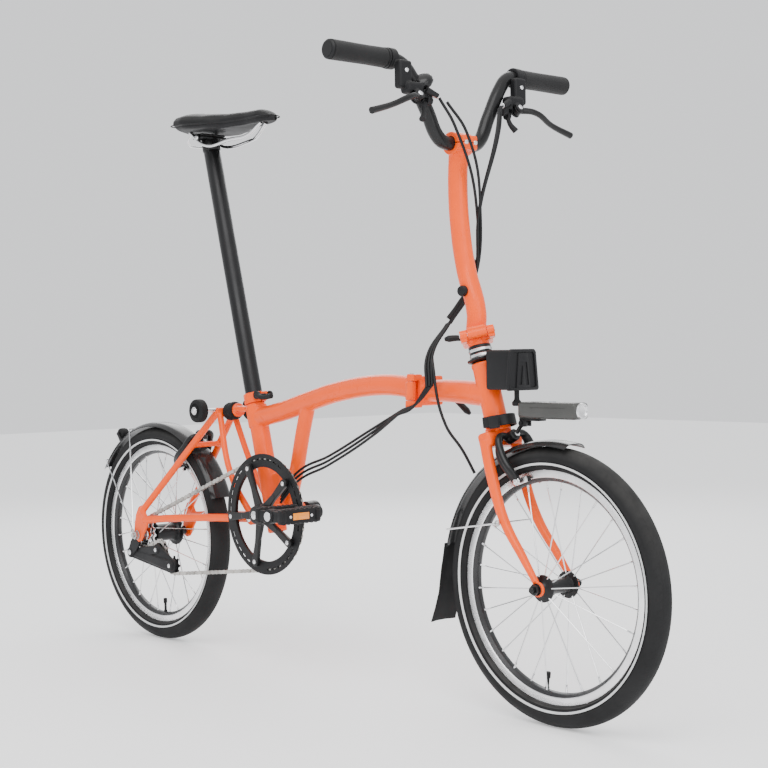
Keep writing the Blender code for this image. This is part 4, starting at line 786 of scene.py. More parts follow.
def wing_lever(foot, along, points, name, body, node):
    """A turned boss with a moulded lever that swells towards its tip."""
    knob = turned([(0, 0), (0.0094, 0), (0.0094, 0.008), (0.0084, 0.0105), (0.004, 0.0118), (0, 0.0118)],
                  foot, along, 28)
    arm = pipe(points, [0.0040, 0.0050, 0.0058, 0.0030], 16)
    lever = weld([knob, arm], 0.0008, 2)
    return keep(lever, name, body, "black_plastic", moulded_black, node)


lever_foot = Vector((middle.x, clamp_high.y + 0.0003, middle.z))
wing_lever(lever_foot, Y, [lever_foot + Y * 0.005, lever_foot + Vector((0.028, 0.0062, -0.020)),
                           lever_foot + Vector((0.047, 0.0068, -0.034)),
                           lever_foot + Vector((0.054, 0.007, -0.039))],
           "main_hinge_wing", "fold_lever", "main_hinge_lever")

# %% [markdown]
# The rear frame is a light truss of thin tubes: chainstays low, seatstays high, and two struts
# that meet at the plate behind the rubber spring. Flat dropouts hold the axle.

# %% Rear frame
BLOCK_FRONT = STOP_AT - STOP_DIR * 0.0033
BLOCK_BACK = BLOCK_FRONT - STOP_DIR * 0.026
TOP_PLATE = BLOCK_BACK - STOP_DIR * 0.0038
REAR_OLD, DROP_T = 0.112, 0.005
ROLLER = at["right_roller"]
ARM_PIVOT = at["tensioner"]
GUARD_RING, PIVOT_RISE = TYRE_R + 0.0085, 0.0185
REAR_BRAKE, FRONT_BRAKE = 50, 116.8
BRIDGE = polar(REAR, REAR_BRAKE, GUARD_RING + PIVOT_RISE)
parts = [disc(RIGHT_LUG, Y, 0.006, -0.0385, 0.0385, steps=24)]
for side in (-1, 1):
    drop_y = side * (REAR_OLD + DROP_T) / 2
    eyes = [(-0.012, 0.004), (-0.0105, 0.022), (-0.006, 0.040), (0.004, 0.056), (0.014, 0.060),
            (0.021, 0.054),
            (0.030, 0.040), (0.036, 0.030), (0.031, 0.018), (0.020, 0.002), (0.012, -0.011), (0.002, -0.0145),
            (-0.008, -0.011)]
    parts += [
        disc(RIGHT_LUG, Y, 0.0115, *sorted((side * 0.0203, side * 0.036)), steps=28),
        pipe([REAR + Vector((0.020, drop_y, 0.031)), REAR + Vector((0.110, side * 0.047, 0.040)),
              REAR + Vector((0.205, side * 0.034, 0.047)), RIGHT_LUG + Y * side * 0.0275], 0.0075, 24),
        pipe([REAR + Vector((0.012, drop_y, 0.046)), TOP_PLATE + Vector((-0.006, side * 0.020, 0))], 0.0069,
             24,
             smooth=False),
        pipe([TOP_PLATE + Vector((-0.004, side * 0.016, 0)), back(0.268, side * 0.028, 0.344),
              RIGHT_LUG + Y * side * 0.0285], [0.006, 0.006, 0.0065], 20),
        plate([REAR + Vector((px, drop_y - DROP_T / 2, pz)) for px, pz in eyes], (0, DROP_T, 0), 0.0008),
    ]
parts += [
    slab((0.014, 0.050, 0.012), TOP_PLATE + Vector((-0.006, 0, 0.003)), bevel=0.003),
    disc(TOP_PLATE, STOP_DIR, 0.012, -0.004, 0.0035, steps=28),
    disc(BRIDGE, Y, 0.0055, -0.036, 0.036, steps=20),
    disc(REAR + Vector((0.270, 0, 0.050)), Y, 0.005, -0.033, 0.033, steps=20),
]
truss = weld(parts, 0.0014, 2)
keep(truss, "rear_frame_welded", "rear_frame", "orange_paint", orange_gloss, "rear_frame")
bracket_y = CHAIN_Y - 0.0161
root = Vector((REAR.x - 0.003, bracket_y, REAR.z - 0.008))
tip = Vector((ARM_PIVOT.x, bracket_y, ARM_PIVOT.z))
down = (tip - root).normalized()
aside = down.cross(Y) * 0.0125
bracket = weld([plate([root + aside, root + down * 0.020 + aside * 1.1, tip + aside * 0.6, tip + down * 0.006,
                       tip - aside * 0.6, root + down * 0.020 - aside, root - aside], (0, 0.0044, 0), 0.0006),
                disc(Vector((ARM_PIVOT.x, 0, ARM_PIVOT.z)), Y, 0.0080, bracket_y - 0.001, bracket_y + 0.0035,
                     steps=24)],
               0.0008, 1)
keep(bracket, "tensioner_bracket", "rear_frame", "pedal_plastic", moulded_black)
bolts = [disc(ROLLER, Y, 0.0040, -0.0742, 0.0742, steps=20),
         disc(ARM_PIVOT, Y, 0.003, CHAIN_Y - 0.0182, CHAIN_Y - 0.0035, steps=20)]
for side in (-1, 1):
    bolts += [disc(ROLLER + Y * side * 0.0726, Y * side, 0.0075, 0, 0.001),
              bolt(ROLLER + Y * side * 0.0736, Y * side, 0.0052, 0.0034),
              bolt(RIGHT_LUG + Y * side * 0.0385, Y * side, 0.0060, 0.003)]
keep(join(*bolts), "rear_frame_bolts", "rear_frame", "zinc_steel", polished)
print("rear frame faces:", len(truss.data.polygons))

# %% [markdown]
# The spring is a block of firm rubber: a waisted puck with a groove.

# %% Rubber spring
puck = turned([(0, 0), (0.0130, 0), (0.0162, 0.0022), (0.0172, 0.0060), (0.0168, 0.0110), (0.0150, 0.0128),
               (0.0168, 0.0146),
               (0.0172, 0.0200), (0.0162, 0.0240), (0.0130, 0.0260), (0, 0.0260)], BLOCK_BACK, STOP_DIR, 48)
keep(puck, "rubber_spring", "rear_frame", "suspension_rubber", soft_rubber, "suspension_block")

# %% [markdown]
# ## Fork
# A steel crown with two tapering blades that sweep forward to small dropouts.

# %% Fork
FRONT_OLD, CROWN = 0.074, steer(-0.072)
LIGHT = at["headlight"]
parts = [disc(HEAD, HEAD_UP, 0.0205, -0.0605, -0.0532, steps=36),
         disc(HEAD, HEAD_UP, 0.0127, -0.072, 0.0505, steps=32),
         slab((0.026, 0.078, 0.024), CROWN, HEAD_FRONT, HEAD_UP, 0.006, 3)]
for side in (-1, 1):
    drop_y = side * (FRONT_OLD + DROP_T) / 2
    line = [CROWN + Y * side * 0.0345, fore(-0.100, side * 0.035, 0.388),
            FRONT + Vector((-0.071, side * 0.037, 0.100)),
            FRONT + Vector((-0.030, side * 0.0385, 0.044)), FRONT + Vector((-0.004, drop_y, 0.010))]
    parts += [pipe(line, [0.0095, 0.0092, 0.0080, 0.0066, 0.0052], 28),
              disc(FRONT, Y, 0.0115, *sorted((drop_y - DROP_T / 2, drop_y + DROP_T / 2)), steps=28)]
fork = weld(parts, 0.0011)
keep(fork, "fork_welded", "fork", "orange_paint", orange_gloss, "fork")
arm = pipe([polar(FRONT, 108.5, TYRE_R + 0.0295), LIGHT + Vector((-0.008, 0, -0.006)), LIGHT],
           [0.0032, 0.0032, 0.004], 14)
lug = disc(LIGHT, Y, 0.006, -0.004, 0.004)
keep(join(arm, lug), "lamp_bracket", "fork", "zinc_steel", black_satin)

# %% Headset, stem base and stem
SPLIT = STEM_PIN - STEM_OUT * 0.027
LEAF = 0.046
race = [(0.0130, 0.0532), (0.0175, 0.0532), (0.0235, 0.0560), (0.0242, 0.0585), (0.0210, 0.0605),
        (0.0130, 0.0605)]
cup = turned(race, HEAD, HEAD_UP, 48)
keep(cup, "headset_cup", "fork", "black_paint", black_satin)


def knurled(low, high, radius):
    """A lock ring whose rim has milled flutes."""
    ring = disc(HEAD, HEAD_UP, radius, low, high, bore=0.013, steps=96, edge=0.0006)
    bpy.ops.object.mode_set(mode="EDIT")
    bpy.ops.mesh.select_all(action="DESELECT")
    bpy.ops.object.mode_set(mode="OBJECT")
    for vertex in ring.data.vertices:
        offset = vertex.co - HEAD
        flat = offset - HEAD_UP * offset.dot(HEAD_UP)
        turn = math.atan2(flat.dot(Y), flat.dot(HEAD_FRONT))
        if flat.length > radius - 0.0004 and round(turn / (2 * math.pi) * 96) % 2:
            vertex.co -= flat.normalized() * 0.0006
    return ring


rings = join(knurled(0.0612, 0.0660, 0.0190), knurled(0.0700, 0.0748, 0.0190))
keep(rings, "headset_lock_rings", "fork", "zinc_steel", polished)
spacer = join(disc(HEAD, HEAD_UP, 0.0180, 0.0660, 0.0700, bore=0.013),
              disc(HEAD, HEAD_UP, 0.0180, 0.0748, 0.0800, bore=0.013))
keep(spacer, "headset_spacers", "fork", "black_paint", black_satin)
parts = [disc(HEAD, HEAD_UP, 0.0168, 0.0795, 0.0900, steps=36)]
parts += hinge_half(STEM_PIN, STEM_AXIS, -STEM_OUT, -HEAD_UP, LEAF, False)
base = weld(parts, 0.0009)
keep(base, "stem_base_welded", "fork", "orange_paint", orange_gloss, "stem_base")
stem_line = [SPLIT + HEAD_UP * 0.009, fore(-0.1595, 0, 0.629), fore(-0.182, 0, 0.702), fore(-0.194, 0, 0.769),
             fore(-0.198, 0, 0.839), BAR - Z * 0.006]
parts = [pipe(stem_line, 0.016, 36), disc(BAR, Y, 0.0185, -0.019, 0.019, steps=36),
         slab((0.014, 0.034, 0.024), BAR + X * 0.020, bevel=0.003)]
parts += hinge_half(STEM_PIN, STEM_AXIS, -STEM_OUT, HEAD_UP, LEAF, True)
stem = weld(parts, 0.0011)
cut(stem, disc(BAR, Y, 0.0118, -0.03, 0.03, steps=32), slab((0.03, 0.05, 0.0016), BAR + X * 0.022, bevel=0))
keep(stem, "stem_welded", "stem", "orange_paint", orange_gloss, "stem")
clamp_bolts = [bolt(BAR + Vector((0.0268, side * 0.010, 0)), X, 0.0040, 0.003) for side in (-1, 1)]
pin = disc(STEM_PIN, STEM_AXIS, 0.0040, -HINGE_HALF - 0.001, HINGE_HALF + 0.001, steps=20)
keep(join(*clamp_bolts), "bar_clamp_bolts", "stem", "zinc_steel", polished)
keep(pin, "stem_hinge_pin", "fork", "zinc_steel", zinc)
foot = at["stem_lever"] - STEM_OUT * 0.0004
wing_lever(foot, -STEM_OUT, [foot - STEM_OUT * 0.006,
                             foot - STEM_OUT * 0.0085 - STEM_AXIS * 0.028 + HEAD_UP * 0.011,
                             foot - STEM_OUT * 0.0092 - STEM_AXIS * 0.044 + HEAD_UP * 0.0135,
                             foot - STEM_OUT * 0.0095 - STEM_AXIS * 0.051 + HEAD_UP * 0.0140],
           "stem_hinge_wing", "stem_lever", "stem_hinge_lever")
nipple_at = fore(-0.172, -0.0155, 0.665)
catch = turned([(0, 0), (0.0088, 0), (0.0088, 0.006), (0.0072, 0.0085), (0.0040, 0.0095), (0, 0.0095)],
               nipple_at, Vector((0.25, -1, 0)), 28)
keep(catch, "stem_catch", "stem", "black_plastic", moulded_black)
print("stem faces:", len(stem.data.polygons))

# %% [markdown]
# ## Seat
# The pillar is one long black tube that slides in the seat tube. A slotted band and a lever hold
# it. Two steel rails run under the saddle and sit in a clamp on the pillar's head.

# %% Seat clamp and pillar
PILLAR_R, PILLAR_BORE = 0.0159, 0.0164
band = disc(SEAT_TOP, SEAT_UP, 0.0202, -0.0200, -0.0010, bore=PILLAR_BORE, steps=48, edge=0.0010)
CLAMP_EYE = SEAT_TOP + Vector((0.0240, 0, -0.0050))
ears = [slab((0.014, 0.0060, 0.017), CLAMP_EYE + Y * side * 0.0062, X, SEAT_UP, 0.0015) for side in (-1, 1)]
clamp = join(band, *ears)
cut(clamp, slab((0.020, 0.0035, 0.05), SEAT_TOP + Vector((0.020, 0, -0.006)), X, SEAT_UP, 0))
keep(clamp, "seat_tube_band", "main_frame", "orange_paint", orange_gloss, "seat_clamp")
LEVER = SEAT_TOP + Vector((0.0295, 0, -0.003))
skewer = [disc(LEVER, Y, 0.0028, -0.019, 0.019, steps=16), disc(LEVER, Y, 0.0075, 0.0125, 0.0170, steps=24),
          disc(LEVER, Y, 0.0075, -0.0190, -0.0125, steps=24)]
grip = pipe([LEVER - Y * 0.0160, LEVER + Vector((0.018, -0.0180, -0.004)),
             LEVER + Vector((0.044, -0.0160, -0.001))],
            [0.0052, 0.0044, 0.0050], 16)
keep(weld(skewer + [grip], 0.0006, 2), "seat_clamp_handle", "seat_lever", "black_plastic", moulded_black,
     "seat_clamp_lever")
SADDLE_HEAD = SEAT_TOP + SEAT_UP * 0.486
pillar = turned([(0.0138, 0), (PILLAR_R - 0.0008, 0), (PILLAR_R, 0.0010), (PILLAR_R, 0.5780),
                 (PILLAR_R - 0.001, 0.5795),
                 (0.0138, 0.5795)], SADDLE_HEAD - SEAT_UP * 0.580, SEAT_UP, 56)
keep(pillar, "seat_pillar_tube", "seat", "black_paint", black_anodised, "seat_pillar")

# %% Saddle clamp and rails
CLAMP_AT = SADDLE_HEAD + SEAT_UP * 0.0075
RAIL_Z = SADDLE_HEAD.z + 0.004
SADDLE_Z = RAIL_Z + 0.022
NOSE, TAIL = back(0.385, 0, 0), back(0.125, 0, 0)
collar = turned([(0.0160, -0.016), (0.0172, -0.014), (0.0172, 0.006), (0.0150, 0.0105), (0, 0.0105)],
                CLAMP_AT, SEAT_UP, 40)
saddle_jaws = [slab((0.034, 0.056, 0.0048), CLAMP_AT + SEAT_UP * 0.0102, X, Z, 0.0014),
               slab((0.030, 0.054, 0.0042), CLAMP_AT + SEAT_UP * 0.0158, X, Z, 0.0014),
               disc(CLAMP_AT + SEAT_UP * 0.011, Y, 0.0062, -0.0300, 0.0300, steps=24)]
keep(join(collar, *saddle_jaws), "saddle_clamp_jaws", "seat", "black_paint", black_satin, "saddle_clamp")
rail_ends = [Vector((NOSE.x - 0.040, 0.006, SADDLE_Z + 0.003)),
             Vector((NOSE.x - 0.075, 0.012, RAIL_Z + 0.004)),
             Vector((NOSE.x - 0.110, 0.022, RAIL_Z)), Vector((TAIL.x + 0.060, 0.022, RAIL_Z)),
             Vector((TAIL.x + 0.030, 0.030, SADDLE_Z + 0.003))]
rails = [pipe([Vector((p.x, p.y * side, p.z)) for p in rail_ends], 0.0035, 16) for side in (-1, 1)]
loop = pipe([Vector((TAIL.x + 0.030, -0.024, SADDLE_Z + 0.002)),
             Vector((TAIL.x + 0.012, -0.022, RAIL_Z + 0.006)),
             Vector((TAIL.x + 0.008, 0, RAIL_Z + 0.001)), Vector((TAIL.x + 0.012, 0.022, RAIL_Z + 0.006)),
             Vector((TAIL.x + 0.030, 0.024, SADDLE_Z + 0.002))], 0.0022, 12)
keep(join(*rails, loop), "saddle_rails", "seat", "zinc_steel", polished)
clamp_screws = join(*[bolt(CLAMP_AT + SEAT_UP * 0.011 + Y * side * 0.0298, Y * side, 0.0050,
                           0.0030) for side in (-1, 1)])
keep(clamp_screws, "saddle_clamp_screws", "seat", "zinc_steel", polished)

# %% [markdown]
# The saddle is firm foam under a stretched skin: wide and slightly dished at the back, long and
# narrow at the nose, with a shallow channel along the middle and a stitched lower edge. A sphere
# gives a closed skin with even rings. Each ring moves to its place along the saddle and takes that
# section's half width and height.

# %% Saddle
SADDLE_SHAPE = [(0, 0.030, 0.014), (0.03, 0.058, 0.024), (0.12, 0.074, 0.033), (0.24, 0.077, 0.035),
                (0.40, 0.060, 0.031),
                (0.56, 0.036, 0.028), (0.74, 0.024, 0.026), (0.92, 0.021, 0.024), (1, 0.011, 0.012)]


def between(share, column):
    """A value of SADDLE_SHAPE, eased between its rows."""
    for low, high in zip(SADDLE_SHAPE, SADDLE_SHAPE[1:]):
        if share <= high[0]:
            t = (share - low[0]) / (high[0] - low[0])
            t = t * t * (3 - 2 * t) * 0.5 + t * 0.5
            return low[column] + (high[column] - low[column]) * t
    return SADDLE_SHAPE[-1][column]


def saddle_form(width=1.0, drop=0.0, thin=1.0, hollow=0.006):
    """The closed skin of the saddle, or of the shell under it."""
    bpy.ops.object.select_all(action="DESELECT")
    bpy.ops.mesh.primitive_uv_sphere_add(segments=96, ring_count=72, radius=1, rotation=(0, math.pi / 2, 0))
    bpy.ops.object.transform_apply(location=True, rotation=True, scale=True)
    form = bpy.context.object
    for vertex in form.data.vertices:
        share = math.acos(max(-1, min(1, -vertex.co.x))) / math.pi
        ring = math.hypot(vertex.co.y, vertex.co.z)
        turn = math.atan2(vertex.co.z, vertex.co.y) if ring > 1e-6 else math.pi / 2
        close = min(1, ring / 0.42) ** 0.55
        half = between(share, 1) * close * width
        high = between(share, 2) * close * thin
        side, up = math.cos(turn), math.sin(turn)
        y = half * math.copysign(abs(side) ** 0.82, side)
        base = SADDLE_Z + 0.011 + 0.010 * abs(share - 0.5) ** 1.5 - drop
        if up >= 0:
            z = base + (high - 0.011) * up ** 0.72
            z -= 0.0022 * math.exp(-(y / 0.010) ** 2) * math.sin(math.pi * min(1,
                                                                               max(0, (share - 0.05) / 0.8)))
            angle = math.degrees(math.asin(min(1, up)))
            z -= 0.0010 * math.exp(-((angle - 17) / 4.5) ** 2)
        else:
            z = base + hollow * up * 1.6 * (1 - 0.6 * (abs(up) ** 3))
        vertex.co = Vector((TAIL.x + share * (NOSE.x - TAIL.x), y, z))
    alone(form)
    bpy.ops.object.mode_set(mode="EDIT")
    bpy.ops.mesh.select_all(action="SELECT")
    bpy.ops.mesh.normals_make_consistent(inside=False)
    bpy.ops.mesh.vertices_smooth(factor=0.5, repeat=2)
    bpy.ops.object.mode_set(mode="OBJECT")
    bpy.ops.object.shade_smooth()
    return form


saddle = keep(saddle_form(), "saddle_cover", "seat", "saddle_cover", saddle_skin, "saddle")
shell = keep(saddle_form(0.93, 0.0035, 0.5, 0.0085), "saddle_shell", "seat", "black_plastic", moulded_black)
seam_run = [Vector((TAIL.x + share * (NOSE.x - TAIL.x), y_side * between(share, 1) * 0.985,
                    SADDLE_Z + 0.0095 + 0.010 * abs(share - 0.5) ** 1.5))
            for y_side, shares in ((1, (0.06, 0.12, 0.2, 0.3, 0.4, 0.5, 0.6, 0.72, 0.84, 0.94)),
                                   (-1, (0.94, 0.84, 0.72, 0.6, 0.5, 0.4, 0.3, 0.2, 0.12, 0.06)))
            for share in shares]
keep(pipe(seam_run + [seam_run[0]], 0.0011, 8), "saddle_piping", "seat", "saddle_cover", moulded_black)
print("saddle:", len(saddle.data.polygons), "faces")

# %% [markdown]
# ## Crankset
# Both arms are forged and painted black. The right one carries a five-armed spider, the toothed
# chainring and a slotted guard ring that keeps trouser legs off the chain.

# %% Crank arms
CRANK_DIR = Vector((math.cos(math.radians(6)), 0, math.sin(math.radians(6))))
CRANK_ARM, PEDAL_SIDE = 0.170, 0.080
RIGHT_EYE, LEFT_EYE = CRANK + CRANK_DIR * CRANK_ARM, CRANK - CRANK_DIR * CRANK_ARM
PITCH, RING_R, GUARD_R, ARM_IN = 0.0127, 0.101, 0.109, 0.058


def strap(start, start_r, end, end_r, low, high, bevel=0.0015):
    """A flat link between two round ends, from low to high along Y."""
    run = math.atan2((end - start).z, (end - start).x)
    lean = math.acos((start_r - end_r) / (end - start).length)
    outline = []
    for centre, radius, first, last in ((start, start_r, lean, 2 * math.pi - lean),
                                        (end, end_r, -lean, lean)):
        for k in range(13):
            turn = run + first + (last - first) * k / 12
            outline.append(Vector((centre.x + radius * math.cos(turn), low,
                                   centre.z + radius * math.sin(turn))))
    return plate(outline, (0, high - low, 0), bevel)


def crank_arm(side, eye):
    """A forged arm: broad at the spindle, slim in the middle, round at the pedal eye."""
    y_low, y_high = sorted((side * (ARM_IN + 0.0005), side * (ARM_IN + 0.0150)))
    middle = CRANK.lerp(eye, 0.5)
    outer = sorted((side * (ARM_IN + 0.0040), side * (ARM_IN + 0.0160)))
    parts = [strap(CRANK, 0.0165, middle, 0.0105, y_low, y_high, 0.003),
             strap(middle, 0.0105, eye, 0.0120, *outer, 0.003)]
    return weld(parts, 0.0010, 4)


SPIDER_Y = CHAIN_Y - 0.0118
CROSS = CRANK_DIR.cross(Y)
arms = []
for k in range(5):
    turn = 2 * math.pi * k / 5 + math.radians(36)
    way = CRANK_DIR * math.cos(turn) + CROSS * math.sin(turn)
    root, tip = CRANK + way * 0.010, CRANK + way * 0.0895
    arms.append(strap(root, 0.0100, CRANK + way * 0.050, 0.0058, SPIDER_Y - 0.0035, SPIDER_Y + 0.0035, 0.001))
    arms.append(strap(CRANK + way * 0.048, 0.0058, tip, 0.0078, SPIDER_Y - 0.0030, SPIDER_Y + 0.0045, 0.001))
hub_disc = disc(CRANK, Y, 0.0190, SPIDER_Y - 0.009, SPIDER_Y + 0.004, steps=36, edge=0.0012)
axle_stub = disc(CRANK, Y, 0.0084, SPIDER_Y, 0.0460, steps=24)
spider = weld([hub_disc, axle_stub] + arms, 0.0009, 2)
right_arm = join(crank_arm(-1, RIGHT_EYE), spider)
keep(right_arm, "right_crank_forging", "crank", "black_paint", black_satin, "right_crank")
left_arm = join(crank_arm(1, LEFT_EYE), disc(CRANK, Y, 0.0160, 0.0465, ARM_IN + 0.012, steps=32))
keep(left_arm, "left_crank_forging", "crank", "black_paint", black_satin, "left_crank")
caps = [bolt(CRANK + Y * side * (ARM_IN + 0.0147), Y * side, 0.0078, 0.0034) for side in (-1, 1)]
pins = [disc(RIGHT_EYE, Y, 0.0058, -0.080 - 0.0900, -0.064, steps=20),
        disc(RIGHT_EYE, Y, 0.0078, -0.0790, -0.0755, steps=6)]
keep(join(*caps), "crank_bolts", "crank", "zinc_steel", polished)
keep(join(*pins), "right_pedal_pin", "crank", "zinc_steel", zinc)


def gear(centre, teeth, low, high, bore, depth=0.0042):
    """A toothed ring cut for half-inch chain, from low to high along Y."""
    pitch_r = PITCH / (2 * math.sin(math.pi / teeth))
    outline = []
    for k in range(teeth):
        for share, rise in ((-0.30, -0.55), (-0.13, 0.45), (0.13, 0.45), (0.30, -0.55), (0.5, -0.85)):
            turn = 2 * math.pi * (k + share) / teeth
            radius = pitch_r + depth * rise
            outline.append(Vector((centre.x + radius * math.cos(turn), low,
                                   centre.z + radius * math.sin(turn))))
    ring = plate(outline, (0, high - low, 0), 0.0002)
    return cut(ring, disc(centre, Y, bore, low - 0.01, high + 0.01, steps=64, edge=0))


RING_TEETH, SPROCKET_TEETH, JOCKEY_TEETH = 50, 13, 8
chainring = gear(CRANK, RING_TEETH, CHAIN_Y - 0.0011, CHAIN_Y + 0.0011, 0.0855)
inner_face = disc(CRANK, Y, 0.0945, CHAIN_Y - 0.0030, CHAIN_Y + 0.0004, bore=0.0855, steps=96)
keep(join(chainring, inner_face), "chainring_teeth", "crank", "black_paint", black_satin, "chainring")
guard = turned([(0.0850, -0.0010), (0.0862, -0.0022), (0.1078, -0.0022), (GUARD_R, -0.0012),
                (GUARD_R, -0.0002),
                (0.0850, -0.0002)], CRANK + Y * (CHAIN_Y - 0.0040), Y, 128)
slots = []
for k in range(40):
    if k % 8 in (0, 7):
        continue
    turn = 2 * math.pi * (k + 0.5) / 40 + math.radians(36 + 6)
    way = CRANK_DIR * math.cos(turn) + CROSS * math.sin(turn)
    slots.append(slab((0.0031, 0.02, 0.0100), CRANK + way * 0.0995 + Y * (CHAIN_Y - 0.005), way, way.cross(Y),
                      0))
cut(guard, join(*slots))
keep(guard, "guard_ring", "crank", "black_plastic", moulded_black)
ring_bolts = []
for k in range(5):
    turn = 2 * math.pi * k / 5 + math.radians(36)
    way = CRANK_DIR * math.cos(turn) + CROSS * math.sin(turn)
    ring_bolts.append(bolt(CRANK + way * 0.0885 + Y * (SPIDER_Y - 0.0028), -Y, 0.0042, 0.0022))
keep(join(*ring_bolts), "chainring_bolts", "crank", "zinc_steel", polished)
print("crankset ready:", RING_TEETH, "teeth")

# %% [markdown]
# Each pedal is a moulded cage round a bearing tube. Its long faces have a row of ridges for grip,
# and an amber reflector sits in each, held by two rivets.

# %% Pedals
PEDAL_OUT, PEDAL_FORE = 0.086, 0.030


def pedal(centre, side, start, name, node):
    """Cage, bearing tube, ridges, reflectors and rivets of one pedal."""
    low, high = sorted((side * start, side * (start + PEDAL_OUT)))
    middle = centre + Y * (side * (start + PEDAL_OUT / 2))
    tube = turned([(0.0062, low), (0.0125, low), (0.0125, low + 0.012), (0.0105, low + 0.020),
                   (0.0105, high - 0.020),
                   (0.0125, high - 0.010), (0.0125, high - 0.003), (0.0062, high)], centre, Y, 32)
    parts = [tube]
    for way in (-1, 1):
        parts.append(slab((0.010, PEDAL_OUT, 0.024), middle + X * way * PEDAL_FORE, bevel=0.0022, segments=3))
        for share in (0.07, 0.93):
            parts.append(slab((0.034, 0.010, 0.0185),
                              centre + Vector((way * 0.020, side * (start + share * PEDAL_OUT), 0)),
                              bevel=0.002))
        parts += [slab((0.0085, 0.0045, 0.0262), middle + Vector((way * PEDAL_FORE, (k - 3.5) * 0.0098, 0)),
                       bevel=0.001)
                  for k in range(8)]
    keep(join(*parts), f"{name}_cage", name, "pedal_plastic", moulded_black, node)
    windows = [slab((0.0016, 0.034, 0.0115), middle + X * way * (PEDAL_FORE + 0.0052),
                    bevel=0.0005) for way in (-1, 1)]
    keep(join(*windows), f"{name}_reflectors", name, "pedal_plastic", amber)
    rivets = [disc(middle + Vector((way * (PEDAL_FORE + 0.0050), gap * 0.0225, 0)), X * way, 0.0026, 0,
                   0.0014, steps=16)
              for way in (-1, 1) for gap in (-1, 1)]
    rivets.append(disc(middle + Y * side * (PEDAL_OUT / 2 - 0.001), Y * side, 0.0080, 0, 0.0032, steps=24))
    keep(join(*rivets), f"{name}_rivets", name, "zinc_steel", polished)


pedal(CRANK + CRANK_DIR * 0.170 - Y * 0.080, -1, 0.008, "right_pedal", "right_pedal")
LEFT_PEDAL = CRANK - CRANK_DIR * CRANK_ARM + Y * PEDAL_SIDE
pedal(LEFT_PEDAL, 1, 0.0165, "left_pedal", "left_pedal")
fold_at = LEFT_PEDAL + Y * 0.0105
knuckle = [slab((0.020, 0.010, 0.024), fold_at, bevel=0.002, segments=3),
           disc(fold_at, Y, 0.0086, 0.0045, 0.0065, steps=24),
           disc(LEFT_PEDAL, Y, 0.0058, 0.012, 0.098, steps=20)]
keep(join(*knuckle), "left_pedal_knuckle", "left_pedal_fold", "zinc_steel", zinc, "left_pedal_hinge")

# %% [markdown]
# ## Chain
# The chain runs over the sprocket and the chainring, then back under the two jockey wheels of the
# tensioner. `belt` finds the straight runs between the circles. One outer and one inner link are
# modelled with few faces, then copied along that line at half-inch spacing.

# %% Chain
GUIDE, IDLER = at["guide_wheel"], at["idler_wheel"]


def belt(circles, step=3):
    """The closed line of a belt round circles of (centre, radius, way)."""
    count = len(circles)
    leave, arrive = [], [0.0] * count
    for i, (centre, radius, way) in enumerate(circles):
        other, radius_2, way_2 = circles[(i + 1) % count]
        gap = other - centre
        heading = math.atan2(gap.z, gap.x) + math.asin((way * radius - way_2 * radius_2) / gap.length)
        leave.append(heading - way * math.pi / 2)
        arrive[(i + 1) % count] = heading - way_2 * math.pi / 2
    points = []
    for i, (centre, radius, way) in enumerate(circles):
        swing = (way * (leave[i] - arrive[i])) % (2 * math.pi)
        parts = max(2, int(math.degrees(swing) / step))
        for k in range(parts + 1):
            turn = arrive[i] + way * swing * k / parts
            points.append(centre + Vector((math.cos(turn), 0, math.sin(turn))) * radius)
    return points


def spaced(line, gap):
    """Points a whole number of steps apart along a closed line."""
    ring = line + [line[0]]
    total = sum((b - a).length for a, b in zip(ring, ring[1:]))
    count = 2 * round(total / gap / 2)
    places, travelled, wanted = [], 0.0, 0.0
    for a, b in zip(ring, ring[1:]):
        length = (b - a).length
        while len(places) < count and wanted <= travelled + length:
            places.append(a.lerp(b, (wanted - travelled) / length))
            wanted += total / count
        travelled += length
    return places


def link(first, second, outer):
    """Two side plates, and on an inner link its rollers."""
    spread = 0.0029 if outer else 0.0019
    along = (second - first).normalized()
    rise = along.cross(Y)
    mesh_parts = []
    for side in (-1, 1):
        outline = []
        for share, height in ((-0.28, 0), (-0.15, 1), (0.15, 1), (0.5, 0.72), (0.85, 1), (1.15, 1), (1.28, 0),
                              (1.15, -1),
                              (0.85, -1), (0.5, -0.72), (0.15, -1), (-0.15, -1)):
            outline.append(first.lerp(second, share) + rise * height * 0.0034 + Y * (CHAIN_Y + side * spread))
        mesh_parts.append(plate(outline, Y * side * 0.0009, 0))
    reach = 0.0039 if outer else 0.0018
    for place in (first, second):
        mesh_parts.append(turned([(0, -reach), (0.0018 if outer else 0.0030, -reach),
                                  (0.0018 if outer else 0.0030, reach),
                                  (0, reach)], place + Y * CHAIN_Y, Y, 8))
    return join(*mesh_parts)


chain_line = belt([(REAR, 0.0265, -1), (CRANK, RING_R, -1), (IDLER, 0.0165, -1), (GUIDE, 0.0165, 1)])
places = spaced([Vector((p.x, 0, p.z)) for p in chain_line], PITCH)
masters = [link(Vector((0, 0, 0)), Vector((PITCH, 0, 0)), outer) for outer in (True, False)]
links = []
for k, place in enumerate(places):
    onward = places[(k + 1) % len(places)] - place
    twin = same(masters[k % 2])
    turn = Matrix.Rotation(-math.atan2(onward.z, onward.x), 4, Y)
    twin.data.transform(Matrix.Translation(place) @ turn)
    links.append(twin)
for master in masters:
    bpy.data.objects.remove(master, do_unlink=True)
chain = keep(join(*links), "drive_chain", "rear_frame", "chain_steel", chain_metal, "chain")
print("chain:", len(places), "links,", len(chain.data.polygons), "faces")

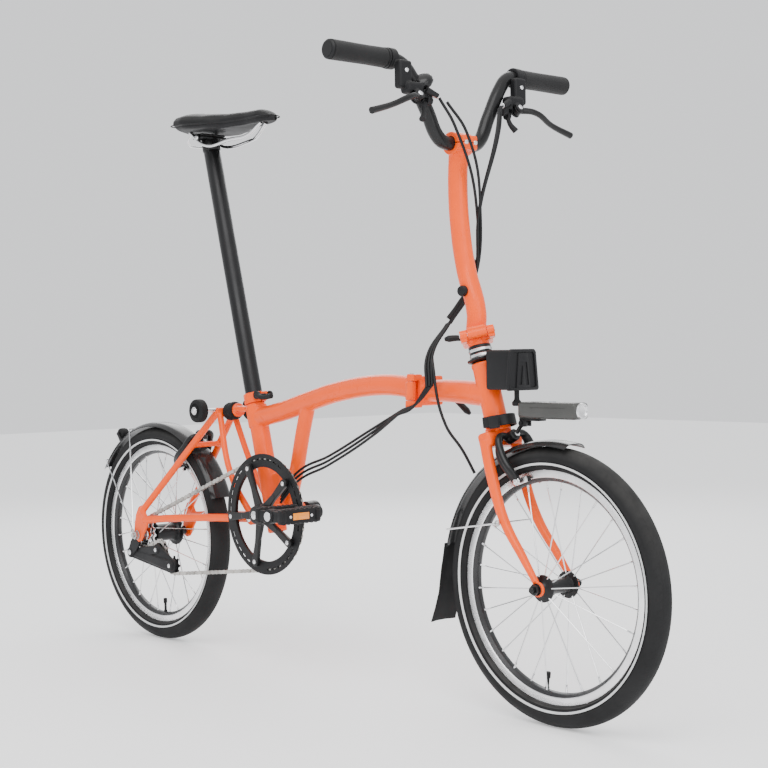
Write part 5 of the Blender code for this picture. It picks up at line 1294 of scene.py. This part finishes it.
# %% Sprockets, jockey wheels and tensioner
cogs = [gear(REAR, SPROCKET_TEETH, CHAIN_Y - 0.0010, CHAIN_Y + 0.0010, 0.010), gear(
    REAR, 16, CHAIN_Y + 0.0038, CHAIN_Y + 0.0056, 0.012),
        disc(REAR, Y, 0.0180, CHAIN_Y + 0.0010, CHAIN_Y + 0.0040, bore=0.0062),
    disc(REAR, Y, 0.0150, CHAIN_Y - 0.0030, CHAIN_Y + 0.0084, bore=0.0062)]
keep(join(*cogs), "sprockets", "sprocket", "zinc_steel", polished, "sprocket")
for centre, body in ((GUIDE, "guide_wheel"), (IDLER, "idler_wheel")):
    wheel = [gear(centre, JOCKEY_TEETH, CHAIN_Y - 0.0010, CHAIN_Y + 0.0010, 0.0040),
             disc(centre, Y, 0.0118, CHAIN_Y - 0.0028, CHAIN_Y + 0.0028, bore=0.0036, steps=32)]
    keep(join(*wheel), f"{body}_teeth", body, "black_plastic", moulded_black, body)
ARM_Y = CHAIN_Y - 0.0071
arm_parts = [strap(ARM_PIVOT, 0.0118, IDLER, 0.0150, ARM_Y - 0.0030, ARM_Y + 0.0025, 0.0015),
             strap(GUIDE, 0.0110, IDLER, 0.0140, ARM_Y - 0.0030, ARM_Y + 0.0025, 0.0015),
             strap(ARM_PIVOT, 0.0080, GUIDE, 0.0085, ARM_Y - 0.0052, ARM_Y - 0.0020, 0.0012),
             strap(ARM_PIVOT, 0.0060, IDLER, 0.0100, ARM_Y - 0.0060, ARM_Y - 0.0020, 0.0012),
             disc(ARM_PIVOT, Y, 0.0105, ARM_Y - 0.0085, ARM_Y + 0.0060, steps=32)]
for centre in (GUIDE, IDLER):
    arm_parts.append(disc(centre, Y, 0.0034, ARM_Y - 0.001, CHAIN_Y + 0.0050, steps=16))
keep(weld(arm_parts, 0.0008, 2), "tensioner_moulding", "tensioner", "black_plastic", moulded_black,
     "tensioner_arm")
screws = [bolt(centre + Y * (ARM_Y - 0.0058), -Y, 0.0042, 0.0022) for centre in (GUIDE, IDLER)]
screws += [bolt(ARM_PIVOT + Y * (ARM_Y - 0.0084), -Y, 0.0056, 0.0026)]
keep(join(*screws), "tensioner_screws", "tensioner", "zinc_steel", polished)

# %% Transport rollers
for side, word in ((-1, "right"), (1, "left")):
    low = 0.052
    body = f"{word}_roller"
    outline = [(0.0048, 0), (0.0150, 0), (0.0150, 0.0015), (0.0190, 0.0015), (0.0214, 0.0032),
               (0.0220, 0.0060),
               (0.0220, 0.0140), (0.0214, 0.0168), (0.0190, 0.0185), (0.0140, 0.0185), (0.0128, 0.0160),
               (0.0072, 0.0160),
               (0.0060, 0.0190), (0.0048, 0.0190)]
    wheel = turned(outline, ROLLER + Y * side * (low + 0.0005), Y * side, 56)
    keep(wheel, f"{body}_tyre", body, "roller_rubber", soft_rubber, body)
back_roller = at["mudguard_roller"]
small = turned([(0.0030, -0.0095), (0.0080, -0.0095), (0.0112, -0.0070), (0.0120, -0.0030), (0.0120, 0.0030),
                (0.0112, 0.0070),
                (0.0080, 0.0095), (0.0030, 0.0095)], back_roller, Y, 40)
keep(small, "mudguard_roller_tyre", "mudguard_roller", "roller_rubber", soft_rubber, "mudguard_roller")
print("drivetrain ready")

# %% [markdown]
# ## Mudguards
# Each guard is a thin strip with rolled edges, bent round the wheel. Its section is drawn once and
# spun about the axle for the arc that it covers. Bright wire stays hold it, and the front one ends
# in a soft flap.

# %% Mudguards
GUARD_W, GUARD_T = 0.046, 0.0016
RIM_R, RIM_W = 0.1772, 0.021


def guard_strip(centre, start, end):
    """A strip with rolled edges over part of a wheel, from one polar angle to another."""
    half = GUARD_W / 2
    across = [half * (k / 8 - 1) for k in range(17)]
    lift = [GUARD_T - 0.0072 * abs(a / half) ** 4 for a in across]
    section = list(zip(across, lift)) + [(a, up - GUARD_T) for a, up in list(zip(across, lift))[::-1]]
    out = (polar(centre, start, 1) - centre).normalized()
    obj = outline_mesh([centre + out * (GUARD_RING + up) + Y * a for a, up in section])
    steps = max(12, int(abs(end - start) / 2.5))
    bpy.ops.mesh.spin(steps=steps, angle=math.radians(end - start), center=centre, axis=Y)
    bpy.ops.mesh.select_all(action="SELECT")
    bpy.ops.mesh.fill_holes(sides=0)
    bpy.ops.mesh.select_all(action="SELECT")
    bpy.ops.mesh.normals_make_consistent(inside=False)
    bpy.ops.object.mode_set(mode="OBJECT")
    return settle(obj)


def stay(centre, angle, foot, foot_y):
    """One bent wire: from an eyelet on each side to the strip's edges, and over it."""
    edge = GUARD_W / 2 - 0.001
    line = [centre + foot - Y * foot_y, polar(centre, angle, GUARD_RING + 0.0016, -edge),
            polar(centre, angle, GUARD_RING + 0.0030, 0), polar(centre, angle, GUARD_RING + 0.0016, edge),
            centre + foot + Y * foot_y]
    return pipe(line, 0.0015, 10, smooth=False)


rear_guard = guard_strip(REAR, 22, 146)
front_guard = guard_strip(FRONT, 79, 168)
roller_out = (at["mudguard_roller"] - REAR).normalized()
legs = [slab((0.006, 0.003, 0.023), at["mudguard_roller"] - roller_out * 0.0075 + Y * side * 0.0125,
             roller_out.cross(Y),
             roller_out, 0.0006) for side in (-1, 1)]
legs.append(disc(at["mudguard_roller"], Y, 0.0026, -0.0148, 0.0148, steps=16))
keep(join(rear_guard, *legs), "rear_mudguard_strip", "rear_frame", "mudguard_plastic", gloss_black,
     "rear_mudguard")
REAR_FOOT_Y = REAR_OLD / 2 + DROP_T + 0.0022
wires = join(stay(REAR, 112, Vector((-0.012, 0, 0.010)), REAR_FOOT_Y),
             stay(REAR, 141, Vector((-0.012, 0, 0.006)), REAR_FOOT_Y))
keep(wires, "rear_mudguard_stays", "rear_frame", "zinc_steel", polished)
flap_line = [polar(FRONT, 167, GUARD_RING + 0.001), FRONT + Vector((-0.2225, 0, 0.010)),
             FRONT + Vector((-0.2265, 0, -0.030)),
             FRONT + Vector((-0.2340, 0, -0.056)), FRONT + Vector((-0.2430, 0, -0.080))]
flap_edge = [p + Vector((-0.0011, -GUARD_W / 2, 0)) for p in flap_line] + [
    p + Vector((0.0011, -GUARD_W / 2, 0)) for p in flap_line[::-1]]
flap = plate(flap_edge, Y * GUARD_W, 0.0004)
bpy.ops.object.mode_set(mode="EDIT")
bpy.ops.mesh.select_all(action="SELECT")
bpy.ops.mesh.subdivide(number_cuts=2)
bpy.ops.object.mode_set(mode="OBJECT")
for vertex in flap.data.vertices:
    depth = max(0, (FRONT.z + 0.03 - vertex.co.z) / 0.11)
    vertex.co.y *= 0.93 + 0.25 * depth
    vertex.co.x -= 0.006 * depth * (1 - (vertex.co.y / 0.028) ** 2)
keep(front_guard, "front_mudguard_strip", "fork", "mudguard_plastic", gloss_black, "front_mudguard")
keep(flap, "front_mudguard_flap", "fork", "mudguard_plastic", soft_rubber)
STAY_FOOT = Vector((-0.075, 0, 0.094))
keep(stay(FRONT, 161, STAY_FOOT, 0.0472), "front_mudguard_stay", "fork", "zinc_steel", polished)
eyelets = [disc(FRONT + STAY_FOOT + Y * side * 0.0460, Y * side, 0.0050, 0, 0.0030) for side in (-1, 1)]
eyelets += [bolt(FRONT + STAY_FOOT + Y * side * 0.0488, Y * side, 0.0036, 0.0022) for side in (-1, 1)]
eyelets += [bolt(REAR + Vector((-0.012, side * (REAR_FOOT_Y + 0.0010), 0.008)), Y * side, 0.0042,
                 0.0026) for side in (-1, 1)]
front_eyes = join(*eyelets[:4])
keep(front_eyes, "fork_eyelets", "fork", "zinc_steel", zinc)
keep(join(*eyelets[4:]), "dropout_eyelets", "rear_frame", "zinc_steel", zinc)
print("mudguard faces:", len(rear_guard.data.polygons), len(front_guard.data.polygons))

# %% [markdown]
# ## Rim brakes
# Each brake has two curved arms on one bolt above the tyre. A rubber pad in a metal shoe hangs at
# the end of each arm, beside the rim's braking face.

# %% Calipers
BRAKE_SET, PAD_TRACK, PAD_GAP = 0.024, 0.0107, 0.0013


def caliper(which, owner, wheel, degrees, way):
    """Two arms, their pads and their bolts."""
    out = (polar(wheel, degrees, 1) - wheel).normalized()
    along = Vector((-out.z, 0, out.x)) * way * BRAKE_SET
    base = wheel + along
    track, pad_y = RIM_R - PAD_TRACK, RIM_W / 2 + PAD_GAP
    pivot_r = GUARD_RING + PIVOT_RISE
    pad_up = (base + out * track - wheel).normalized()
    pad_at = wheel + pad_up * track
    pad_along = pad_up.cross(Y)
    for side, word in ((1, "left"), (-1, "right")):
        shift = along.normalized() * (0.0045 * side)
        line = [base + shift + out * pivot_r, base + shift + out * (pivot_r + 0.0020) + Y * side * 0.022,
                base + shift + out * (GUARD_RING - 0.006) + Y * side * 0.0315,
                pad_at + pad_up * 0.012 + Y * side * 0.0300,
                pad_at + Y * side * (pad_y + 0.0095)]
        body = f"{which}_caliper_{word}"
        web = [point - along.normalized() * 0.0050 for point in line[2:]]
        arm = weld([pipe(line, [0.0058, 0.0062, 0.0062, 0.0058, 0.0054], 20),
                    pipe([line[1]] + web, [0.0050, 0.0058, 0.0056, 0.0052], 20),
                    disc(base + out * pivot_r + shift, along, 0.0095, -0.0042, 0.0042, steps=28)], 0.0007, 2)
        cut(arm, disc(base + out * pivot_r, along, 0.0033, -0.02, 0.02, steps=16, edge=0))
        keep(arm, f"{body}_arm", body, "black_paint", black_satin, body)
        pad = slab((0.034, 0.0048, 0.0080), pad_at + Y * side * (pad_y + 0.0026), pad_along, pad_up, 0.0010)
        keep(pad, f"{body}_pad", body, "tyre_rubber", soft_rubber)
        shoe = [slab((0.030, 0.0030, 0.0090), pad_at + Y * side * (pad_y + 0.0062), pad_along, pad_up,
                     0.0008),
                disc(pad_at + Y * side * (pad_y + 0.0070), Y * side, 0.0062, 0.0070, 0.0096, steps=24),
                bolt(pad_at + Y * side * (pad_y + 0.0164), Y * side, 0.0048, 0.0034)]
        keep(join(*shoe), f"{body}_shoe", body, "zinc_steel", polished)
    centre = base + out * pivot_r
    nut_side = along.normalized()
    keep(join(disc(centre, nut_side, 0.0030, -0.022, 0.012, steps=16),
              nut(centre + nut_side * 0.0098, nut_side, 0.0056, 0.004)),
         f"{which}_brake_bolt", owner, "zinc_steel", polished)


caliper("rear", "rear_frame", REAR, REAR_BRAKE, 1)
caliper("front", "fork", FRONT, FRONT_BRAKE, -1)

# %% [markdown]
# ## Lamp and luggage block
# The lamp is a slim ribbed housing with a bright bowl in a bezel. The luggage block is a
# moulding bolted to the head tube; its front plate has a raised rim and a tapered key, and a
# sprung pin below locks the bag.

# %% Lamp
LAMP = LIGHT + Vector((0.0605, 0, 0.0203))
case = slab((0.116, 0.034, 0.0255), LAMP - X * 0.0028, bevel=0.0055, segments=3)
ribs = [slab((0.0016, 0.05, 0.0016), LAMP + Vector((-0.050 + 0.005 * k, 0, 0.0132)),
             bevel=0) for k in range(8)]
ribs += [slab((0.070, 0.0014, 0.0014), LAMP + Vector((0.002, side * 0.0172, 0.0045)),
              bevel=0) for side in (-1, 1)]
cut(case, join(*ribs), disc(LAMP + X * 0.0480, X, 0.0096, 0, 0.02, steps=40, edge=0))
keep(case, "lamp_housing", "headlight", "headlight_plastic", lamp_grey, "headlight")
bowl = turned([(0.0030, 0), (0.0092, 0.0062), (0.0094, 0.0070), (0, 0.0052), (0, 0)], LAMP + X * 0.0482, X,
              40)
keep(bowl, "lamp_bowl", "headlight", "machined_aluminium", polished)
bezel = turned([(0.0094, 0.0040), (0.0120, 0.0040), (0.0126, 0.0052), (0.0120, 0.0078), (0.0094, 0.0078)],
               LAMP + X * 0.0500, X, 48)
keep(bezel, "lamp_bezel", "headlight", "machined_aluminium", rim_silver)
foot = [slab((0.012, 0.0034, 0.0224), LIGHT + Vector((0.0022, side * 0.0062, 0.0063)),
             bevel=0.0008) for side in (-1, 1)]
foot += [disc(LIGHT, Y, 0.0036, -0.0104, 0.0104, steps=20),
         slab((0.034, 0.018, 0.005), LAMP + Vector((-0.040, 0, -0.0140)), bevel=0.001)]
keep(join(*foot), "lamp_foot", "headlight", "headlight_plastic", moulded_black)
switch = disc(LAMP + Vector((-0.002, 0, 0.0125)), Z, 0.0055, 0, 0.0012, steps=28)
keep(switch, "lamp_switch", "headlight", "headlight_plastic", slate)

# %% Luggage block
PLATE_X = fore(-0.063, 0, 0).x
BLOCK_LOW, BLOCK_HIGH = 0.508, 0.572
MIDDLE = (BLOCK_LOW + BLOCK_HIGH) / 2
core = slab((0.052, 0.050, 0.062), Vector((PLATE_X - 0.029, 0, MIDDLE)), bevel=0.004, segments=3)
face = []
for y, z in ((-0.035, BLOCK_LOW + 0.003), (-0.032, BLOCK_LOW), (0.032, BLOCK_LOW), (0.035, BLOCK_LOW + 0.003),
             (0.029, BLOCK_HIGH - 0.004), (0.025, BLOCK_HIGH), (-0.025, BLOCK_HIGH),
             (-0.029, BLOCK_HIGH - 0.004)):
    face.append(Vector((PLATE_X - 0.003, y, z)))
front_plate = plate(face, X * 0.006, 0.0010)
pocket = [Vector((PLATE_X + 0.0008, p.y * 0.84, MIDDLE + (p.z - MIDDLE) * 0.86)) for p in face]
cut(front_plate, plate(pocket, X * 0.01, 0))
key = plate([Vector((PLATE_X - 0.002, y, z)) for y,
             z in ((-0.016, BLOCK_LOW + 0.004), (0.016, BLOCK_LOW + 0.004),
             (0.0105, BLOCK_HIGH - 0.006), (-0.0105, BLOCK_HIGH - 0.006))], X * 0.0048, 0.0008)
inner = plate([Vector((PLATE_X + 0.0016, y, z)) for y,
               z in ((-0.012, BLOCK_LOW + 0.009), (0.012, BLOCK_LOW + 0.009),
               (0.0075, BLOCK_HIGH - 0.020), (-0.0075, BLOCK_HIGH - 0.020))], X * 0.004, 0)
cut(key, inner)
tongue = plate([Vector((PLATE_X - 0.001, y, z)) for y,
                z in ((-0.0045, BLOCK_LOW + 0.009), (0.0045, BLOCK_LOW + 0.009),
                (0.0010, BLOCK_HIGH - 0.026), (-0.0010, BLOCK_HIGH - 0.026))], X * 0.0042, 0.0004)
HOLE = Vector((PLATE_X, 0, BLOCK_HIGH - 0.012))
LATCH_AT = Vector((fore(-0.075, 0, 0).x, 0, 0.497))


def hole_tool():
    return disc(HOLE - X * 0.06, X, 0.0058, 0, 0.12, steps=32, edge=0)


cut(core, disc(HEAD, HEAD_UP, 0.0187, -0.05, 0.046, steps=48, edge=0),
    disc(HEAD, HEAD_UP, 0.0262, 0.045, 0.12, steps=48, edge=0),
    disc(LATCH_AT, Z, 0.0047, -0.03, 0.028, edge=0), hole_tool())
cut(front_plate, hole_tool())
block = join(core, front_plate, key, tongue)
keep(block, "luggage_block_moulding", "front_frame", "black_plastic", moulded_black, "luggage_block")
knob = turned([(0, -0.0130), (0.0060, -0.0130), (0.0076, -0.0112), (0.0076, -0.0072), (0.0058, -0.0050),
               (0.0044, -0.0035),
               (0.0040, 0.0), (0.0040, 0.022), (0, 0.022)], LATCH_AT, Z, 28)
keep(knob, "luggage_latch_pin", "luggage_latch", "black_plastic", moulded_black, "luggage_latch")
clip_at = fore(-0.1055, 0, 0.459)
clip = [disc(clip_at, HEAD_UP, 0.0212, -0.0085, 0.0085, bore=0.0187, steps=40),
        slab((0.020, 0.012, 0.017), clip_at + Vector((-0.004, -0.0255, 0)), X, HEAD_UP, 0.0012),
        slab((0.020, 0.004, 0.020), clip_at + Vector((0.012, -0.0320, 0.001)), X, HEAD_UP, 0.0010)]
keep(join(*clip), "cable_clip", "front_frame", "black_plastic", moulded_black)
print("front block faces:", len(block.data.polygons))

# %% [markdown]
# ## Handlebar
# One black tube, bent into a tall M. Foam grips with end caps slide over its ends. Each control is
# a clamp, a lever bracket and a gear trigger, moulded together.

# %% Bar and grips
BAR_R, BAR_HALF, GRIP_LENGTH, GRIP_R, BAR_TOP = 0.0114, 0.2675, 0.118, 0.0155, 0.1215
BAR_STEPS = [(0, 0.010, 0), (0, 0.030, 0), (0, 0.045, 0.0065), (-0.001, 0.070, 0.0485),
             (-0.004, 0.102, 0.100),
             (-0.006, 0.117, 0.115), (-0.008, 0.136, BAR_TOP), (-0.008, 0.150, BAR_TOP),
             (-0.008, BAR_HALF, BAR_TOP)]
bar_line = [BAR + Vector((x, -y, z)) for x, y, z in BAR_STEPS[::-1]] + [BAR + Vector((x, y, z)) for x, y,
                                                                        z in BAR_STEPS]
keep(pipe(bar_line, BAR_R, 36), "handlebar_tube", "stem", "black_paint", black_satin, "handlebar")
BAR_END = BAR + Vector((-0.008, 0, BAR_TOP))
GRIP_IN = BAR_HALF - GRIP_LENGTH
for side, word in ((1, "left"), (-1, "right")):
    grip = turned([(BAR_R + 0.0003, GRIP_IN + 0.004), (GRIP_R - 0.0012, GRIP_IN + 0.004),
                   (GRIP_R, GRIP_IN + 0.0052),
                   (GRIP_R - 0.0005, GRIP_IN + 0.04), (GRIP_R, BAR_HALF - 0.0060),
                   (GRIP_R - 0.001, BAR_HALF - 0.0048),
                   (BAR_R + 0.0003, BAR_HALF - 0.0048)], BAR_END, Y * side, 48)
    keep(grip, f"{word}_grip_foam", "stem", "grip_rubber", foam_black, f"{word}_grip")
    cap = turned([(0, BAR_HALF - 0.0005), (0, BAR_HALF - 0.0046), (GRIP_R - 0.0012, BAR_HALF - 0.0046),
                  (GRIP_R - 0.0004, BAR_HALF - 0.0032), (GRIP_R - 0.0020, BAR_HALF - 0.0012),
                  (0.010, BAR_HALF - 0.0002)],
                 BAR_END, Y * side, 40)
    ring = disc(BAR_END, Y * side, GRIP_R + 0.0004, GRIP_IN - 0.0002, GRIP_IN + 0.0038, bore=BAR_R + 0.0002,
                steps=40)
    keep(join(cap, ring), f"{word}_grip_ends", "stem", "black_plastic", moulded_black)

# %% Controls
LEVER_AXIS = Vector((0.85, 0, 0.52)).normalized()
for side, word in ((1, "left"), (-1, "right")):
    pivot, shift = at[f"{word}_brake_lever"], at[f"{word}_shifter"]
    clamp_y = side * (GRIP_IN - 0.0080)
    parts = [disc(BAR_END + Y * clamp_y, Y, 0.0166, -0.0066, 0.0066, bore=BAR_R + 0.0002, steps=40),
             slab((0.016, 0.026, 0.044), BAR_END + Vector((0.0185, side * 0.130, -0.026)), bevel=0.004),
             slab((0.022, 0.034, 0.019), BAR_END + Vector((0.022, side * 0.114, -0.046)), bevel=0.005),
             disc(pivot, LEVER_AXIS, 0.0088, -0.0085, -0.0055, steps=28),
             disc(pivot, LEVER_AXIS, 0.0088, 0.0055, 0.0085, steps=28),
             pipe([shift + Vector((0, side * 0.016, 0.012)), shift + Vector((0, side * -0.012, 0.006))],
                  0.0082, 20, smooth=False),
             pipe([shift + Vector((0.006, side * 0.002, 0.022)),
                   shift + Vector((0.012, side * -0.018, 0.014))], [0.0062, 0.0040], 16,
                  smooth=False)]
    bracket = weld(parts, 0.0009, 3)
    cut(bracket, pipe(bar_line, BAR_R + 0.0004, 24), disc(pivot, LEVER_AXIS, 0.0125, -0.0054, 0.0054, edge=0),
        disc(shift, Y, 0.0130, *sorted((side * -0.0012, side * 0.0078)), edge=0))
    keep(bracket, f"{word}_lever_bracket", "stem", "black_plastic", moulded_black, f"{word}_controls")
    fixings = [bolt(pivot + LEVER_AXIS * 0.0084, LEVER_AXIS, 0.0046, 0.0026),
               bolt(pivot - LEVER_AXIS * 0.0084, -LEVER_AXIS, 0.0046, 0.0026),
               bolt(BAR_END + Vector((0.0262, side * 0.130, -0.020)), X, 0.0038, 0.0026),
               disc(BAR_END + Vector((0.036, side * 0.074, -0.056)), Vector((0.2, -side, -0.25)), 0.0042,
                    -0.010, 0.002, steps=12)]
    keep(join(*fixings), f"{word}_control_bolts", "stem", "zinc_steel", polished)
    tip = pivot + Vector((0.018, side * 0.112, -0.034))
    knee = pivot + Vector((0.016, side * 0.024, -0.003))
    blade = pipe([pivot, knee, pivot.lerp(tip, 0.6) + X * 0.004, tip], [0.0056, 0.0050, 0.0048, 0.0056], 24)
    lever = weld([disc(pivot, LEVER_AXIS, 0.0080, -0.0047, 0.0047, steps=28), blade], 0.0007, 2)
    keep(lever, f"{word}_brake_blade", f"{word}_brake_lever", "black_paint", black_satin,
         f"{word}_brake_lever")
    trigger = weld([disc(shift, Y, 0.0066, *sorted((side * -0.0004, side * 0.0070)), steps=24),
                    pipe([shift + Y * side * 0.0032, shift + Vector((0.004, side * 0.006, -0.014)),
                          shift + Vector((0.009, side * 0.014, -0.025))], [0.0034, 0.0042, 0.0054], 16)],
                   0.0006, 2)
    keep(trigger, f"{word}_gear_trigger", f"{word}_shifter", "black_plastic", moulded_black,
         f"{word}_shifter")
BELL_UP = Vector((0.3, -0.6, 0.74)).normalized()
dome = turned([(0, -0.004), (0.0172, -0.004), (0.0176, -0.0030), (0.0168, 0.0020), (0.0135, 0.0056),
               (0.0070, 0.0078), (0, 0.0082)],
              BAR_END + Vector((0.016, -0.087, -0.030)), BELL_UP, 40)
neck = pipe([BAR_END + Vector((0.014, -0.087, -0.034)), BAR + Vector((-0.004, -0.098, 0.094))],
            [0.0060, 0.0075], 16, smooth=False)
base = disc(BAR_END + Vector((0.016, -0.087, -0.030)), BELL_UP, 0.0140, -0.0090, -0.0045, steps=32)
keep(join(dome, neck, base), "bell", "stem", "black_plastic", gloss_black)
print("controls ready")

# %% [markdown]
# ## Cables
# Brake and gear cables are fixed at both ends, so they are part of the bicycle and not free
# cords. Each run is a smooth round line between its clips. A run that crosses a joint rides on no
# body and stays where it is drawn.

# %% Cables
CABLE_R = 0.0024
GATHER, SLEEVE_TOP = fore(-0.178, 0.022, 0.769), fore(-0.205, 0.034, 0.674)
SLEEVE_LOW = fore(-0.233, 0.012, 0.616)
runs = []
for side in (-1, 1):
    for twin in (0, 1):
        slip = Vector((0.003, side * -0.0055, -0.003)) * twin
        runs.append(pipe([BAR_END + Vector((0.036, side * 0.070, -0.058)) + slip * 2,
                          BAR + Vector((0.042, side * 0.050, 0.020)) + slip * 3,
                          GATHER + Vector((0.004, side * 0.004, 0.030)) + slip,
                          SLEEVE_TOP + Vector((0.002, side * 0.002, 0)) + slip * 0.4,
                          SLEEVE_LOW + slip * 0.3], CABLE_R, 12))
upper = keep(join(*runs), "upper_cables", None, "cable_sheath", moulded_black, "handlebar_cables")
sleeve = pipe([GATHER.lerp(SLEEVE_TOP, 0.55), SLEEVE_TOP,
               SLEEVE_TOP.lerp(SLEEVE_LOW, 0.5) + Vector((-0.003, 0.003, 0)),
               SLEEVE_LOW + Vector((-0.001, 0, 0.006))], [0.0050, 0.0062, 0.0062, 0.0052], 20)
keep(sleeve, "cable_sleeve", "stem", "cable_sheath", soft_rubber)
runs = []
for k in (-1, 0, 1):
    shift = Vector((0.0035 * k, 0.003 * k, 0.002 * k))
    runs.append(pipe([SLEEVE_LOW + shift * 0.5 + Vector((0, -0.002, -0.001)),
                      fore(-0.236, -0.030, 0.564) + shift,
                      fore(-0.226, -0.042, 0.514) + shift], CABLE_R, 12))
runs.append(pipe([SLEEVE_LOW + Vector((0.002, -0.001, -0.001)), fore(-0.238, -0.018, 0.582),
                  fore(-0.222, -0.035, 0.535),
                  fore(-0.196, -0.036, 0.453), fore(-0.172, -0.022, 0.412), fore(-0.160, -0.008, 0.376)],
                 CABLE_R, 12))
lower_run = keep(join(*runs), "steering_cable_runs", None, "cable_sheath", moulded_black, "steering_cables")
runs, tails = [], []
for k in (-1, 0, 1):
    drop = Vector((0.0030 * k, 0.0022 * k, 0.0035 * k))
    runs.append(pipe([fore(-0.226, -0.042, 0.514) + Vector((0.0035 * k, 0.003 * k, 0.002 * k)),
                      fore(-0.258, -0.046, 0.482) + drop,
                      fore(-0.292, -0.045, 0.471) + drop], CABLE_R, 12))
    sag = Vector((0, 0.0015 * k, 0.009 * k))
    tails.append(pipe([fore(-0.292, -0.045, 0.471) + drop, fore(-0.370, -0.035, 0.436) + sag * 0.7,
                       fore(-0.500, -0.022, 0.382) + sag * 0.9,
                       back(0.452, -0.021, 0.346) + sag, back(0.430, -0.0255, 0.322) + sag * 0.9,
                       back(0.418, -0.0285, 0.306) + sag * 0.6],
                      CABLE_R, 12))
front_run = keep(join(*runs), "hinge_cable_runs", None, "cable_sheath", moulded_black, "front_cables")
keep(join(*tails), "frame_cable_runs", "main_frame", "cable_sheath", moulded_black, "rear_cables")
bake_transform(upper)
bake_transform(lower_run)
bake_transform(front_run)
print("cable runs ready")

# %% [markdown]
# ## What the frame still shows
# The spindle and its bearing cups sit between the cranks, where little of them shows. Their shape is
# already right, so they stay as they are and only need their zinc finish.

# %% Finish of the kept pieces
shown = [name for name, node in frame["nodes"].items() if not node.hide_render]
for name in shown:
    frame["nodes"][name].data.materials.clear()
    frame["nodes"][name].data.materials.append(zinc)
print("kept nodes:", shown)
